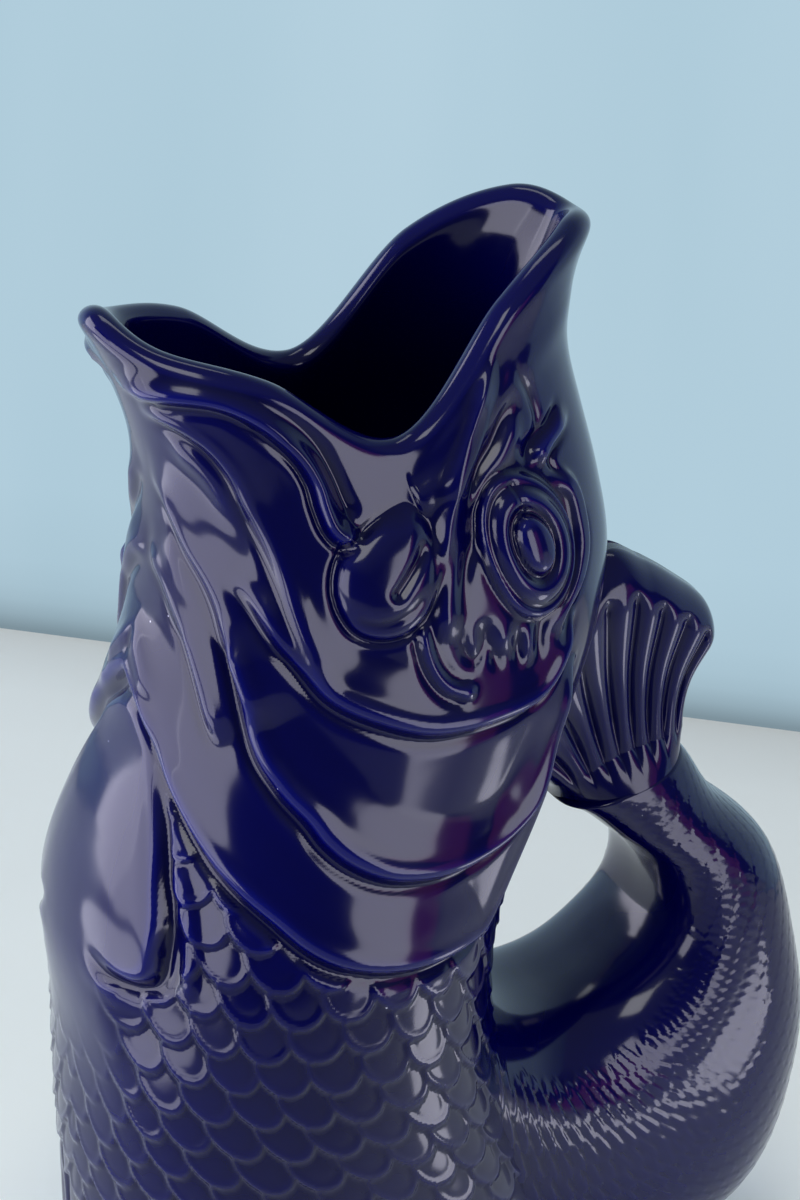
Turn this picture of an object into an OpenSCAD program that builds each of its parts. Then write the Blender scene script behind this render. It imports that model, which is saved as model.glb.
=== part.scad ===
// Gurgle jug shaped as a fish standing on its belly: the open mouth is the jug's mouth and the
// hollow tail curls up behind as the handle. Its foot stands on the plane z = 0, centred on the
// origin. The pouring lip and the belly face -X, the tail is on the +X side, and the fish's
// left side faces -Y. Lengths are in millimetres and angles in degrees. A place on the skin is
// given by an angle round the body from the back (0) to the belly (180), and by a level that runs
// from the foot (0) over the shoulder (1) to the rim (2).

/* [Size] */
// Height of the upper lip above the table
jug_h = 254; // [215:1:300]
// Length of belly and head from front to back, without the tail
body_l = 120; // [105:1:140]
// Width of the belly
body_w = 102; // [85:1:125]
// Thickness of the fired wall
wall = 4.5; // [3.5:0.1:6]

/* [Mouth] */
// Length of the mouth on the middle of its rim, from pouring lip to upper lip
mouth_l = 101; // [88:1:115]
// Width of the mouth on the middle of its rim
mouth_w = 52; // [44:1:62]
// How far the pouring lip lies below the upper lip
spout_drop = 7.5; // [4:0.5:14]
// How far the corners of the mouth lie below the upper lip
corner_drop = 33.5; // [24:0.5:42]
// Radius of the rounded rim
bead_r = 3.5; // [2.8:0.1:4.5]
// Height of the soft roll under the rim
roll_h = 1.6; // [0.8:0.1:2.5]

/* [Foot] */
// Outer radius of the foot ring
foot_r = 38; // [32:0.5:39]
// Width of the foot ring
foot_w = 7; // [4:0.5:10]
// Height of the foot ring
foot_h = 4; // [2.5:0.5:6]
// Radius of the foot ring's rounded edges
foot_edge_r = 1.2; // [0.6:0.1:1.5]

/* [Tail] */
// Distance of the finger loop's middle from the jug's axis
loop_x = 43; // [41:0.5:46]
// Mean radius of the finger loop
loop_r = 22; // [19:0.5:24]
// Distance from the loop's middle to the tail's outer side, level with it
tail_reach = 65; // [60:0.5:70]
// Width of the tail there
tail_w = 48; // [40:1:54]
// Height of the tail's underside above the table, below the finger loop
tail_clear = 5; // [4:0.5:9]

/* [Tail fin] */
// Height of the tail fin above the waist
fan_h = 53; // [42:1:62]
// Distance of the tail fin's outer corner from the jug's axis
fan_x = 86; // [80:0.5:96]
// Half the thickness of the tail fin
fan_t = 11.5; // [8:0.5:14]
// Number of rays in the tail fin
fan_rays = 9; // [5:1:13]
// Depth of the furrows between its rays
fan_furrow = 2.2; // [0.5:0.1:3]

/* [Face] */
// Radius of the eye's outer ring
eye_r = 10.5; // [8:0.5:12]
// Height of the eyeball above the eye's outer ring
eye_dome = 1.2; // [0.5:0.1:2.5]
// Half the width of the jaw bone at its lower end
jaw_r = 9; // [6:0.5:10]
// Height of the jaw bone above the cheek
jaw_h = 4.2; // [2.5:0.1:6]
// Half the width of the lip's roll
lip_r = 3.6; // [2.5:0.1:4.5]
// Height of the lip's roll above the cheek
lip_h = 2.4; // [1.5:0.1:3.5]
// Half the width of the folds down the throat
fold_r = 4.5; // [3:0.1:6]
// Height of those folds
fold_h = 2.2; // [1.2:0.1:3.5]
// Height of the gill plates' lower edges above the skin
gill_h = 3; // [1.5:0.1:4.5]

/* [Fins] */
// Thickness of the pectoral fins
pectoral_t = 4.5; // [2.5:0.1:6]
// Thickness of the pelvic fins
pelvic_t = 6; // [3:0.1:8]
// Height of the rays on the pectoral and pelvic fins
ray_h = 0.7; // [0.3:0.1:1.2]

/* [Hidden] */

glaze = "midnightblue";
bare_clay = "tan";

// How far below the skin starts what is laid on it
sink = 2;

// Steps of the meshes
body_steps = 52;
lower_steps = 18;
head_steps = 12;
inner_lower_steps = 8;
inner_head_steps = 5;
bead_steps = 5;
tail_steps = 18;
tail_rings_per_span = 3;
bore_steps = 16;
fan_rings = 8;
fan_steps = 36;
face_steps = 10;
plate_rings = 16;
eye_steps = 20;
// Power that packs the body's rings near the foot, and the share of a row that slopes are
// measured over
level_power = 1.3;
slope_share = 0.02;

// Outline of the body without its relief: [share of the height, share of the length or width]
shoulder_share = 0.704;
front_shares = [
    [0, -0.358], [0.024, -0.435], [0.064, -0.49], [0.124, -0.519], [0.224, -0.529],
    [0.324, -0.527], [0.404, -0.515], [0.464, -0.494], [0.524, -0.462], [0.584, -0.425],
    [0.644, -0.395], [0.704, -0.376], [0.764, -0.357], [0.816, -0.351], [0.864, -0.36],
    [0.944, -0.38]
];
back_shares = [
    [0, 0.358], [0.03, 0.375], [0.09, 0.355], [0.164, 0.305], [0.244, 0.25], [0.304, 0.222],
    [0.364, 0.212], [0.424, 0.228], [0.484, 0.27], [0.544, 0.333], [0.604, 0.391],
    [0.664, 0.437], [0.724, 0.457], [0.784, 0.44], [0.844, 0.408], [0.904, 0.368],
    [0.964, 0.345]
];
side_shares = [
    [0, 0.78], [0.03, 0.86], [0.09, 0.925], [0.17, 0.975], [0.28, 1], [0.4, 0.99],
    [0.504, 0.94], [0.604, 0.875], [0.684, 0.825], [0.744, 0.785], [0.804, 0.725],
    [0.864, 0.66], [0.964, 0.58]
];
// How much squarer than an ellipse the body is across
squareness = 2.12;

// Dip of the rim: [angle from the back, share of the dip]
back_dip_shares = [[0, 0.03], [30, 0], [60, 0.29], [90, 1]];
front_dip_shares = [[90, 1], [120, 0.43], [150, 0.2], [180, 0]];
mouth_shift_share = -0.013;
// How suddenly the wall turns out to the rim, at the corners and at the lips
corner_turn = 1.7;
lip_turn = 4;
// Soft roll under the rim: where it is on the head's levels and how wide
roll_level = 0.8;
roll_spread = 0.07;

// Tail, ring by ring round the finger loop: [angle of the inner point, share of loop_r,
//        angle of the outer point, share of tail_reach, share of tail_w]
tail_shares = [
    [-165, 1.05, -125, 1.165, 1.5], [-132, 0.955, -104, 1.26, 1.42],
    [-98, 0.9, -82, 1.368, 1.33], [-66, 0.88, -60, 1.485, 1.25],
    [-38, 0.98, -37, 1.24, 1.16], [-10, 1.17, -14, 0.99, 1.03],
    [18, 1.18, 8, 0.866, 0.88], [48, 1.08, 26, 0.735, 0.71],
    [80, 1.2, 44, 0.742, 0.6]
];
// How much squarer than an ellipse the tail is across, on its inner and outer sides
inner_squareness = 3;
outer_squareness = 2.1;
lowest_ring = 2;
last_ring = len(tail_shares) - 1;
// The tail's bore stops this far short of the waist, in rings
bore_stop = 0.4;
loop_z = tail_clear
    - tail_reach * tail_shares[lowest_ring][3] * sin(tail_shares[lowest_ring][2]);

// Upper edge of the tail fin from the body's back to its outer corner:
// [place across from -1 to 1, share of the reach, share of fan_h]
fan_root_share = 0.25;
fan_shares = [
    [-1, 0, -0.03], [-0.75, 0.07, 0.33], [-0.5, 0.21, 0.67], [-0.25, 0.353, 0.9],
    [0, 0.53, 1], [0.25, 0.68, 0.925], [0.5, 0.82, 0.82], [0.75, 0.945, 0.7], [1, 1, 0.55]
];
// How far the rays follow the tail's line before they spread
fan_bend_share = 0.24;
// Thickness of the tail fin on its way out: [place from waist to edge, share of the thickness]
fan_thick_shares = [[0, 1], [0.25, 0.9], [0.6, 0.78], [0.85, 0.9], [1, 0.95]];
fan_round_share = 0.84;
fan_squareness = 4;
// The fin has its full flat shape from this place on, and its sides end this near its edges
fan_flat_share = 0.25;
fan_reach_share = 0.995;
fan_end_share = 0.97;

// Lower edges of the three gill plates: [place from back to front, angle, level]
gill_edges_shares = [
    [[0, 57, 0.968], [0.2, 72, 0.905], [0.45, 93, 0.908], [0.6, 106, 0.932],
     [0.75, 118, 0.966], [0.88, 130, 1.05], [1, 140, 1.214]],
    [[0, 53, 0.892], [0.15, 62, 0.78], [0.3, 75, 0.744], [0.5, 97, 0.76],
     [0.7, 116, 0.81], [0.85, 131, 0.885], [1, 146, 1.052]],
    [[0, 53, 0.72], [0.1, 60, 0.65], [0.3, 83, 0.634], [0.45, 104, 0.662],
     [0.6, 122, 0.71], [0.78, 145, 0.795], [1, 174, 0.915]]
];
// Rows down each plate: [edge above, edge below, place between, share of gill_h]
gill_row_shares = [
    [0, 0, -0.6, 0.2], [0, 0, -0.25, 0.55], [0, 1, 0, 0.9], [0, 1, 0.09, 0.35],
    [0, 1, 0.55, 0.5], [0, 1, 0.96, 0.95], [1, 2, 0.05, 0.45], [1, 2, 0.5, 0.6],
    [1, 2, 0.94, 1], [1, 2, 1, 0.75]
];
// Height left at the plates' front and rear ends, and how fast it grows from there
gill_end_share = 0.35;
gill_growth = 2;
// Height of the uppermost row above the first edge, as a level
gill_top_level = 0.2;

// Middle line of the jaw bone: [angle, level, share of jaw_r, share of jaw_h]
jaw_shares = [
    [68, 1.9, 0.3, 0.3], [76, 1.86, 0.36, 0.5], [83, 1.76, 0.42, 0.6], [89, 1.64, 0.55, 0.7],
    [95, 1.52, 0.8, 0.9], [100, 1.4, 1, 1], [104, 1.28, 1, 0.95], [106.5, 1.18, 0.7, 0.6],
    [107.5, 1.12, 0.3, 0.15]
];
jaw_steps = 12;

// Middle lines of the lip's roll, down to its curl at the corner of the mouth, and of the two
// folds down the throat: [angle, level, share of the half width, share of the height]
lip_shares = [
    [158, 1.86, 0.35, 0.35], [148, 1.9, 0.7, 0.6], [138, 1.9, 0.9, 0.8], [129, 1.885, 1, 0.9],
    [122, 1.85, 1, 1], [116.5, 1.79, 1, 1], [113, 1.71, 1, 1], [112.2, 1.62, 1, 1],
    [110.5, 1.55, 0.9, 0.9], [107, 1.53, 0.35, 0.3]
];
upper_fold_shares = [
    [160, 1.78, 0.35, 0.3], [150, 1.8, 0.8, 0.75], [142, 1.75, 1, 0.95], [136.5, 1.65, 1, 1],
    [134.5, 1.53, 1, 1], [131.5, 1.42, 1, 1], [128.5, 1.3, 1, 0.9], [125, 1.15, 0.9, 0.8],
    [122, 1.06, 0.5, 0.35]
];
lower_fold_shares = [
    [174, 1.5, 0.35, 0.3], [166, 1.42, 0.85, 0.8], [158, 1.31, 1, 1], [152, 1.21, 1, 1],
    [147.5, 1.1, 1, 1], [143, 1.01, 0.9, 0.8], [139, 0.95, 0.5, 0.35]
];
fold_steps = 10;
fold_rings = 10;

// Eye: its place on the skin, the height of its ring as a share of eye_r, and its profile:
// [share of eye_r, share of eye_r down, share of the ring's height, share of eye_dome]
eye_angle = 66;
eye_level = 1.31;
eye_tilt_angle = 8;
eye_ring_share = 0.2;
eye_shares = [
    [0, 0.9, 0, 0], [0.7, 0.9, 0, 0], [1, 0, 0, 0], [0.93, 0, 0.8, 0], [0.8, 0, 1, 0],
    [0.66, 0, 0.75, 0], [0.48, 0, 0.35, 0], [0.43, 0, 0.7, 0.4], [0.24, 0, 0.8, 0.85],
    [0, 0, 0.8, 1]
];

// Fins laid on the skin, down their length:
// [level, angle of the rear edge, angle of the front edge, share of the thickness]
pectoral_shares = [
    [0.826, 160, 165, 0.1], [0.8, 154, 169, 0.55], [0.76, 149, 171.5, 0.85],
    [0.71, 145, 172.5, 1], [0.66, 142.5, 171.5, 1], [0.625, 143, 167, 0.8],
    [0.605, 147, 160, 0.25]
];
pelvic_shares = [
    [0.3, 163, 168, 0.1], [0.27, 158, 170.5, 0.6], [0.22, 152, 172, 0.9],
    [0.16, 146, 171.5, 1], [0.105, 143, 169, 0.95], [0.07, 144, 163, 0.6],
    [0.055, 148, 157, 0.2]
];
pectoral_rays = 7;
pelvic_rays = 5;
fin_steps = 10;
fin_rings = 8;

// Sign that takes 0 as positive
function side_of(x) = x < 0 ? -1 : 1;
function power(x, p) = side_of(x) * pow(abs(x), p);

// Smooth curve through a table's rows at place x, reading the value in column c
function gap(t, i) = t[i + 1][0] - t[i][0];
function slope(t, c, i, flat) =
    i == 0 ? (flat ? 0 : (t[1][c] - t[0][c]) / gap(t, 0))
    : i == len(t) - 1 ? (flat ? 0 : (t[i][c] - t[i - 1][c]) / gap(t, i - 1))
    : (t[i + 1][c] - t[i - 1][c]) / (t[i + 1][0] - t[i - 1][0]);
function row_below(t, x, i = 0) = i >= len(t) - 2 || x < t[i + 1][0] ? i : row_below(t, x, i + 1);
function through(t, x, c = 1, flat = false) =
    let(
        q = min(max(x, t[0][0]), t[len(t) - 1][0]),
        i = row_below(t, q),
        h = gap(t, i),
        u = (q - t[i][0]) / h,
        u2 = u * u,
        u3 = u2 * u
    )
    (2 * u3 - 3 * u2 + 1) * t[i][c] + (u3 - 2 * u2 + u) * h * slope(t, c, i, flat)
    + (3 * u2 - 2 * u3) * t[i + 1][c] + (u3 - u2) * h * slope(t, c, i + 1, flat);

// A table with its rows numbered, so that it is read by row
function numbered(t) = [for (i = [0 : len(t) - 1]) concat([i], t[i])];

// Middle line of the rim at an angle round the body
function rim_drop(a) =
    let(f = abs(a > 180 ? a - 360 : a))
    f <= 90 ? corner_drop * through(back_dip_shares, f, 1, true)
    : spout_drop + (corner_drop - spout_drop) * through(front_dip_shares, f, 1, true);
function rim_x(a) = mouth_l * (mouth_shift_share + cos(a) / 2);
function rim_y(a) = mouth_w / 2 * sin(a);
function rim_z(a) = jug_h - bead_r - rim_drop(a);
function rim_out(a) =
    let(n = [mouth_w * cos(a), mouth_l * sin(a)]) n / norm(n);

// Cut across the body at a share of its height, set in by a wall
function front_at(s) = body_l * through(front_shares, s);
function back_at(s) = body_l * through(back_shares, s);
function side_at(s) = body_w / 2 * through(side_shares, s);
function cut_point(a, s, inset) =
    let(
        half = (back_at(s) - front_at(s)) / 2 - inset,
        middle = (back_at(s) + front_at(s)) / 2,
        p = 2 / squareness
    )
    [middle + half * power(cos(a), p), (side_at(s) - inset) * power(sin(a), p)];
function cut_out(a, s) =
    let(n = [side_at(s) * cos(a), (back_at(s) - front_at(s)) / 2 * sin(a)]) n / norm(n);

// The skin at an angle and a level
function turn(a) = corner_turn + (lip_turn - corner_turn) * pow(cos(a), 2);
function head_top_share(a) = (rim_z(a) - foot_h) / (jug_h - foot_h);
function share_at(a, v) =
    v <= 1 ? shoulder_share * v
    : shoulder_share + (v - 1) * (head_top_share(a) - shoulder_share);
function roll(a, v) =
    roll_h * exp(-pow((v - 1 - roll_level) / roll_spread, 2)) * abs(sin(a / 2));
function skin(a, v, inset = 0, out = 0) =
    let(
        s = share_at(a, v),
        w = v <= 1 ? 0 : pow(v - 1, turn(a)),
        edge = bead_r * (inset > 0 ? -1 : 1),
        target = [rim_x(a), rim_y(a)] + rim_out(a) * edge,
        lift = inset > 0 ? 0 : out + roll(a, v),
        p = cut_point(a, s, inset) * (1 - w) + target * w + cut_out(a, s) * lift
    )
    [p[0], p[1], foot_h + (jug_h - foot_h) * s];

// Closed skin through rings of equally many points, both ends closed by strips across the ring
module loft(rings) {
    n = len(rings[0]);
    m = len(rings);
    end = (m - 1) * n;
    polyhedron(
        points = [for (r = rings) each r],
        faces = concat(
            [for (j = [0 : m - 2], i = [0 : n - 1])
                [j * n + i, (j + 1) * n + i, (j + 1) * n + (i + 1) % n]],
            [for (j = [0 : m - 2], i = [0 : n - 1])
                [j * n + i, (j + 1) * n + (i + 1) % n, j * n + (i + 1) % n]],
            [for (i = [0 : n / 2 - 2]) [i, i + 1, n - 1 - i]],
            [for (i = [0 : n / 2 - 2]) [i + 1, n - 2 - i, n - 1 - i]],
            [for (i = [0 : n / 2 - 2]) [end + i, end + n - 1 - i, end + i + 1]],
            [for (i = [0 : n / 2 - 2]) [end + i + 1, end + n - 1 - i, end + n - 2 - i]]
        )
    );
}

// Keeps every size and makes one skin of what it holds
module one_skin() {
    resize([0, 0, 0]) children();
}

// Angles round a ring
function round_steps(n) = [for (i = [0 : n - 1]) 360 * i / n];

// Levels of the body's rings, closer together near the foot
function outer_levels() = concat(
    [for (i = [0 : lower_steps]) pow(i / lower_steps, level_power)],
    [for (i = [1 : head_steps]) 1 + i / head_steps]
);
function inner_levels(bottom) = concat(
    [for (i = [inner_head_steps : -1 : 1]) 1 + i / inner_head_steps],
    [for (i = [inner_lower_steps : -1 : 0])
        bottom + (1 - bottom) * pow(i / inner_lower_steps, level_power)]
);
function skin_rings(levels, inset) =
    [for (v = levels) [for (a = round_steps(body_steps)) skin(a, v, inset)]];
function bead_rings() = [
    for (k = [1 : bead_steps - 1])
        let(b = 180 * k / bead_steps)
        [for (a = round_steps(body_steps))
            let(o = rim_out(a) * bead_r * cos(b))
            [rim_x(a) + o[0], rim_y(a) + o[1], rim_z(a) + bead_r * sin(b)]]
];
floor_level = wall / (jug_h - foot_h) / shoulder_share;

// The body filled up to its rim, which everything laid on it is cut by
module body_filled() {
    loft(skin_rings(outer_levels(), 0));
}

module body_shell() {
    loft(concat(
        skin_rings(outer_levels(), 0),
        bead_rings(),
        skin_rings(inner_levels(floor_level), wall)
    ));
}

// Ring s of the tail, set in by a wall: outwards first, then over the top of the ring
tail_table = numbered(tail_shares);
function loop_point(angle, r) = [loop_x, loop_z] + r * [cos(angle), sin(angle)];
function tail_inner(s, inset = 0) =
    loop_point(through(tail_table, s, 1), loop_r * through(tail_table, s, 2) + inset);
function tail_outer(s, inset = 0) =
    loop_point(through(tail_table, s, 3), tail_reach * through(tail_table, s, 4) - inset);
function tail_half(s) = tail_w / 2 * through(tail_table, s, 5);
function tail_ring(s, inset, n) =
    let(
        i = tail_inner(s, inset),
        o = tail_outer(s, inset),
        side = tail_half(s) - inset
    )
    [for (a = round_steps(n))
        let(
            m = 2 / (cos(a) < 0 ? inner_squareness : outer_squareness),
            p = (o + i) / 2 + (o - i) / 2 * power(cos(a), m)
        )
        [p[0], side * power(sin(a), m), p[1]]];
function tail_rings(inset, n, last) =
    [for (i = [0 : tail_rings_per_span * last_ring])
        tail_ring(last * i / (tail_rings_per_span * last_ring), inset, n)];

module tail_filled() {
    loft(tail_rings(0, tail_steps, last_ring));
}

module tail_bore() {
    loft(tail_rings(wall, bore_steps, last_ring - bore_stop));
}

// The tail fin: rays that leave the waist's ring along the tail and spread to the fin's edge
waist_in = tail_inner(last_ring);
waist_out = tail_outer(last_ring);
waist_h = (waist_in[1] + waist_out[1]) / 2;
function fan_edge(q) =
    let(root = body_l * fan_root_share)
    [root + (fan_x - root) * through(fan_shares, q, 1), waist_h + fan_h * through(fan_shares, q, 2)];
function fan_waist(q) = (waist_in + waist_out) / 2 + (waist_out - waist_in) / 2 * q;
function fan_bend(q) =
    let(d = waist_out - waist_in)
    fan_waist(q) + [-d[1], d[0]] / norm(d) * fan_h * fan_bend_share;
function fan_half(g, q) =
    let(
        end = g < fan_round_share ? 1
            : sqrt(max(1 - pow((g - fan_round_share) / (1 - fan_round_share), 2), 0)),
        furrow = fan_furrow * sin(180 * min(g / fan_round_share, 1))
            * (1 - cos(180 * fan_rays * (q + 1))) / 2
    )
    end * (fan_t * through(fan_thick_shares, g) - furrow);
function fan_place(i) =
    let(w = 1 - 2 * i / fan_steps) fan_reach_share * (w + sin(90 * w)) / 2;
function fan_point(g, q, sign) =
    let(
        to_fan = min(g / fan_flat_share, 1),
        p = fan_waist(q) * pow(1 - g, 2) + fan_bend(q) * 2 * g * (1 - g) + fan_edge(q) * g * g,
        y_round = tail_half(last_ring) * sqrt(max(1 - q * q, 0)),
        y_fan = fan_half(g, q) * pow(max(1 - pow(abs(q), fan_squareness), 0), 1 / fan_squareness)
    )
    [p[0], sign * (y_round + (y_fan - y_round) * to_fan), p[1]];
function fan_ring(g) = concat(
    [for (i = [0 : fan_steps]) fan_point(g, fan_place(i), 1)],
    [for (i = [fan_steps : -1 : 0]) fan_point(g, fan_place(i), -1)]
);

module fan_filled() {
    loft([for (i = [0 : fan_rings]) fan_ring(sin(90 * fan_end_share * i / fan_rings))]);
}

// A plate laid on the skin: rows of [angle, level, height] for each ring along it
module laid_on(rings) {
    loft([for (r = rings) concat(
        [for (p = r) skin(p[0], p[1], 0, p[2])],
        [for (i = [len(r) - 1 : -1 : 0]) skin(r[i][0], r[i][1], 0, -sink)]
    )]);
}

function gill_edge(k, u) =
    [through(gill_edges_shares[k], u, 1), through(gill_edges_shares[k], u, 2)];
function gill_row(r, u) =
    let(
        up = gill_edge(r[0], u),
        top = [up[0], up[1] + gill_top_level],
        down = r[1] == r[0] ? top : gill_edge(r[1], u),
        p = up + (down - up) * (r[1] == r[0] ? -r[2] : r[2]),
        fade = min(gill_end_share + gill_growth * sin(180 * u), 1)
    )
    [p[0], p[1], gill_h * r[3] * fade];

module gill_plates() {
    laid_on([for (i = [0 : plate_rings])
        [for (r = gill_row_shares) gill_row(r, i / plate_rings)]]);
}

// A ridge laid on the skin: flattened rings along its middle line
function ridge_middle(t, u) = skin(through(t, u, 1), through(t, u, 2));
function unit(v) = v / norm(v);
function ridge_ring(t, u, half, high, n) =
    let(
        e = slope_share,
        along = unit(ridge_middle(t, u + e) - ridge_middle(t, u - e)),
        o = cut_out(through(t, u, 1), shoulder_share),
        out = [o[0], o[1], 0],
        across = unit(cross(along, out))
    )
    [for (a = round_steps(n))
        ridge_middle(t, u) + across * cos(a) * half * through(t, u, 3)
        + out * sin(a) * high * through(t, u, 4)];

module ridge(shares, half, high, n, rings) {
    table = numbered(shares);
    last = len(shares) - 1;
    loft([for (i = [0 : rings]) ridge_ring(table, last * i / rings, half, high, n)]);
}

// The eye: a ring with a ball in it, turned about its own axis and set on the skin
module eye_dome() {
    ring_h = eye_r * eye_ring_share;
    n = cut_out(eye_angle, shoulder_share);
    translate(skin(eye_angle, eye_level))
        rotate([0, 90 - eye_tilt_angle, atan2(n[1], n[0])])
            rotate_extrude($fn = eye_steps)
                polygon([for (p = eye_shares)
                    [eye_r * p[0], ring_h * p[2] + eye_dome * p[3] - eye_r * p[1]]]);
}

// A fin laid on the skin, with rays down its length
function fin_ring(t, u, thick, rays) =
    let(
        v = through(t, u, 1),
        rear = through(t, u, 2),
        front = through(t, u, 3),
        h = thick * through(t, u, 4)
    )
    [for (i = [0 : fin_steps])
        let(
            w = i / fin_steps,
            hump = sqrt(max(1 - pow(2 * w - 1, 2), 0)),
            ray = ray_h * (1 - cos(360 * rays * w)) / 2
        )
        [rear + (front - rear) * w, v, max(h * hump - ray * through(t, u, 4), -sink / 2)]];

module fin_leaf(shares, thick, rays) {
    table = numbered(shares);
    last = len(shares) - 1;
    laid_on([for (i = [0 : fin_rings]) fin_ring(table, last * i / fin_rings, thick, rays)]);
}

// The fish's left side is drawn by turning the angle the other way round
module on_side(left) {
    if (left) mirror([0, 1, 0]) children();
    else children();
}

module body() {
    color(glaze) one_skin() difference() {
        body_shell();
        tail_bore();
    }
}

module foot_ring() {
    flat = foot_w - 2 * foot_edge_r;
    color(bare_clay) rotate_extrude()
        polygon([
            [foot_r - foot_w, foot_edge_r],
            [foot_r - foot_w + foot_edge_r, 0],
            [foot_r - foot_w + foot_edge_r + flat, 0],
            [foot_r, foot_edge_r],
            [foot_r, foot_h],
            [foot_r - foot_w, foot_h]
        ]);
}

module tail() {
    color(glaze) one_skin() difference() {
        tail_filled();
        body_filled();
        tail_bore();
    }
}

module tail_fin() {
    color(glaze) one_skin() difference() {
        fan_filled();
        body_filled();
        tail_filled();
    }
}

module gill_cover(left) {
    color(glaze) one_skin() difference() {
        on_side(left) gill_plates();
        body_filled();
    }
}

module jaw(left) {
    color(glaze) one_skin() difference() {
        on_side(left) ridge(jaw_shares, jaw_r, jaw_h, jaw_steps, face_steps);
        body_filled();
        on_side(left) gill_plates();
    }
}

// A fold that ends under the gill plates
module fold(left, shares, half, high) {
    color(glaze) one_skin() difference() {
        on_side(left) ridge(shares, half, high, fold_steps, fold_rings);
        body_filled();
        on_side(left) gill_plates();
    }
}

module lip_roll(left) {
    fold(left, lip_shares, lip_r, lip_h);
}

module throat_fold_upper(left) {
    fold(left, upper_fold_shares, fold_r, fold_h);
}

module throat_fold_lower(left) {
    fold(left, lower_fold_shares, fold_r, fold_h);
}

module eye(left) {
    color(glaze) one_skin() difference() {
        on_side(left) eye_dome();
        body_filled();
    }
}

module pectoral_fin(left) {
    color(glaze) one_skin() difference() {
        on_side(left) fin_leaf(pectoral_shares, pectoral_t, pectoral_rays);
        body_filled();
        on_side(left) gill_plates();
    }
}

module pelvic_fin(left) {
    color(glaze) one_skin() difference() {
        on_side(left) fin_leaf(pelvic_shares, pelvic_t, pelvic_rays);
        body_filled();
    }
}

body();
foot_ring();
tail();
tail_fin();
gill_cover(true);  // gill_cover_left
gill_cover(false);  // gill_cover_right
jaw(true);  // jaw_left
jaw(false);  // jaw_right
lip_roll(true);  // lip_roll_left
lip_roll(false);  // lip_roll_right
throat_fold_upper(true);  // throat_fold_upper_left
throat_fold_upper(false);  // throat_fold_upper_right
throat_fold_lower(true);  // throat_fold_lower_left
throat_fold_lower(false);  // throat_fold_lower_right
eye(true);  // eye_left
eye(false);  // eye_right
pectoral_fin(true);  // pectoral_fin_left
pectoral_fin(false);  // pectoral_fin_right
pelvic_fin(true);  // pelvic_fin_left
pelvic_fin(false);  // pelvic_fin_right
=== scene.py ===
"""A gurgle jug in cobalt glaze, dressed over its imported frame: one skin in relief, tail, fins and studio."""
import math
import bpy
import numpy as np
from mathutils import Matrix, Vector


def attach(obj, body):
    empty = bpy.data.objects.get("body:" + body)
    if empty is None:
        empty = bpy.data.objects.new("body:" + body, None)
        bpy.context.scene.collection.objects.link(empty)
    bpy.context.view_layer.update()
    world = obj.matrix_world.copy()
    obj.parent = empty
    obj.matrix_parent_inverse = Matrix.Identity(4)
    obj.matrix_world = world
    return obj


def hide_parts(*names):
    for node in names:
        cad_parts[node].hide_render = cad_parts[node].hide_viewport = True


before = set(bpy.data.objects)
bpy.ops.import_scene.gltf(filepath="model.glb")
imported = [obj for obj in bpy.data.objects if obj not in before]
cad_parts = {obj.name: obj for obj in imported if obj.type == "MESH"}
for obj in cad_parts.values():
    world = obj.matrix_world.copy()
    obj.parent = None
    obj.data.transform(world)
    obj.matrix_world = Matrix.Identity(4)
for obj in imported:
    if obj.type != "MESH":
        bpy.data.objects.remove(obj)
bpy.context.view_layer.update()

MM = 0.001

# The frame's sizes, in millimetres, degrees and shares
JUG_H, BODY_L, BODY_W, WALL = 254.0, 120.0, 102.0, 4.5
MOUTH_L, MOUTH_W, SPOUT_DROP, CORNER_DROP, BEAD_R, ROLL_H = 101.0, 52.0, 7.5, 33.5, 3.5, 1.6
FOOT_H = 4.0
LOOP_X, LOOP_R, REACH, TAIL_W, TAIL_CLEAR = 43.0, 22.0, 65.0, 48.0, 5.0
FAN_H, FAN_X, FAN_T, FAN_RAYS, FAN_FURROW, FAN_BEND = 53.0, 86.0, 11.5, 9, 2.2, 0.24
SHOULDER, SQUARE, SHIFT = 0.704, 2.12, -0.013
CORNER_TURN, LIP_TURN, ROLL_LEVEL, ROLL_SPREAD = 1.7, 4.0, 0.8, 0.07
FRONT = [(0, -.358), (.024, -.435), (.064, -.49), (.124, -.519), (.224, -.529), (.324, -.527),
         (.404, -.515), (.464, -.494), (.524, -.462), (.584, -.425), (.644, -.395), (.704, -.376),
         (.764, -.357), (.816, -.351), (.864, -.36), (.944, -.38)]
BACK = [(0, .358), (.03, .375), (.09, .355), (.164, .305), (.244, .25), (.304, .222), (.364, .212),
        (.424, .228), (.484, .27), (.544, .333), (.604, .391), (.664, .437), (.724, .457), (.784, .44),
        (.844, .408), (.904, .368), (.964, .345)]
SIDE = [(0, .78), (.03, .86), (.09, .925), (.17, .975), (.28, 1.0), (.40, .99), (.504, .94), (.604, .875),
        (.684, .825), (.744, .785), (.804, .725), (.864, .66), (.964, .58)]
BACK_DIP = [(0, .03), (30, 0), (60, .29), (90, 1)]
FRONT_DIP = [(90, 1), (120, .43), (150, .20), (180, 0)]
TAIL = np.array([[-165, 1.05, -125, 1.165, 1.5], [-132, .955, -104, 1.26, 1.42],
                 [-98, .9, -82, 1.368, 1.33], [-66, .88, -60, 1.485, 1.25], [-38, .98, -37, 1.24, 1.16],
                 [-10, 1.17, -14, .99, 1.03], [18, 1.18, 8, .866, .88], [48, 1.08, 26, .735, .71],
                 [80, 1.2, 44, .742, .6]])
INNER_SQUARE, OUTER_SQUARE = 3.0, 2.1
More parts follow.
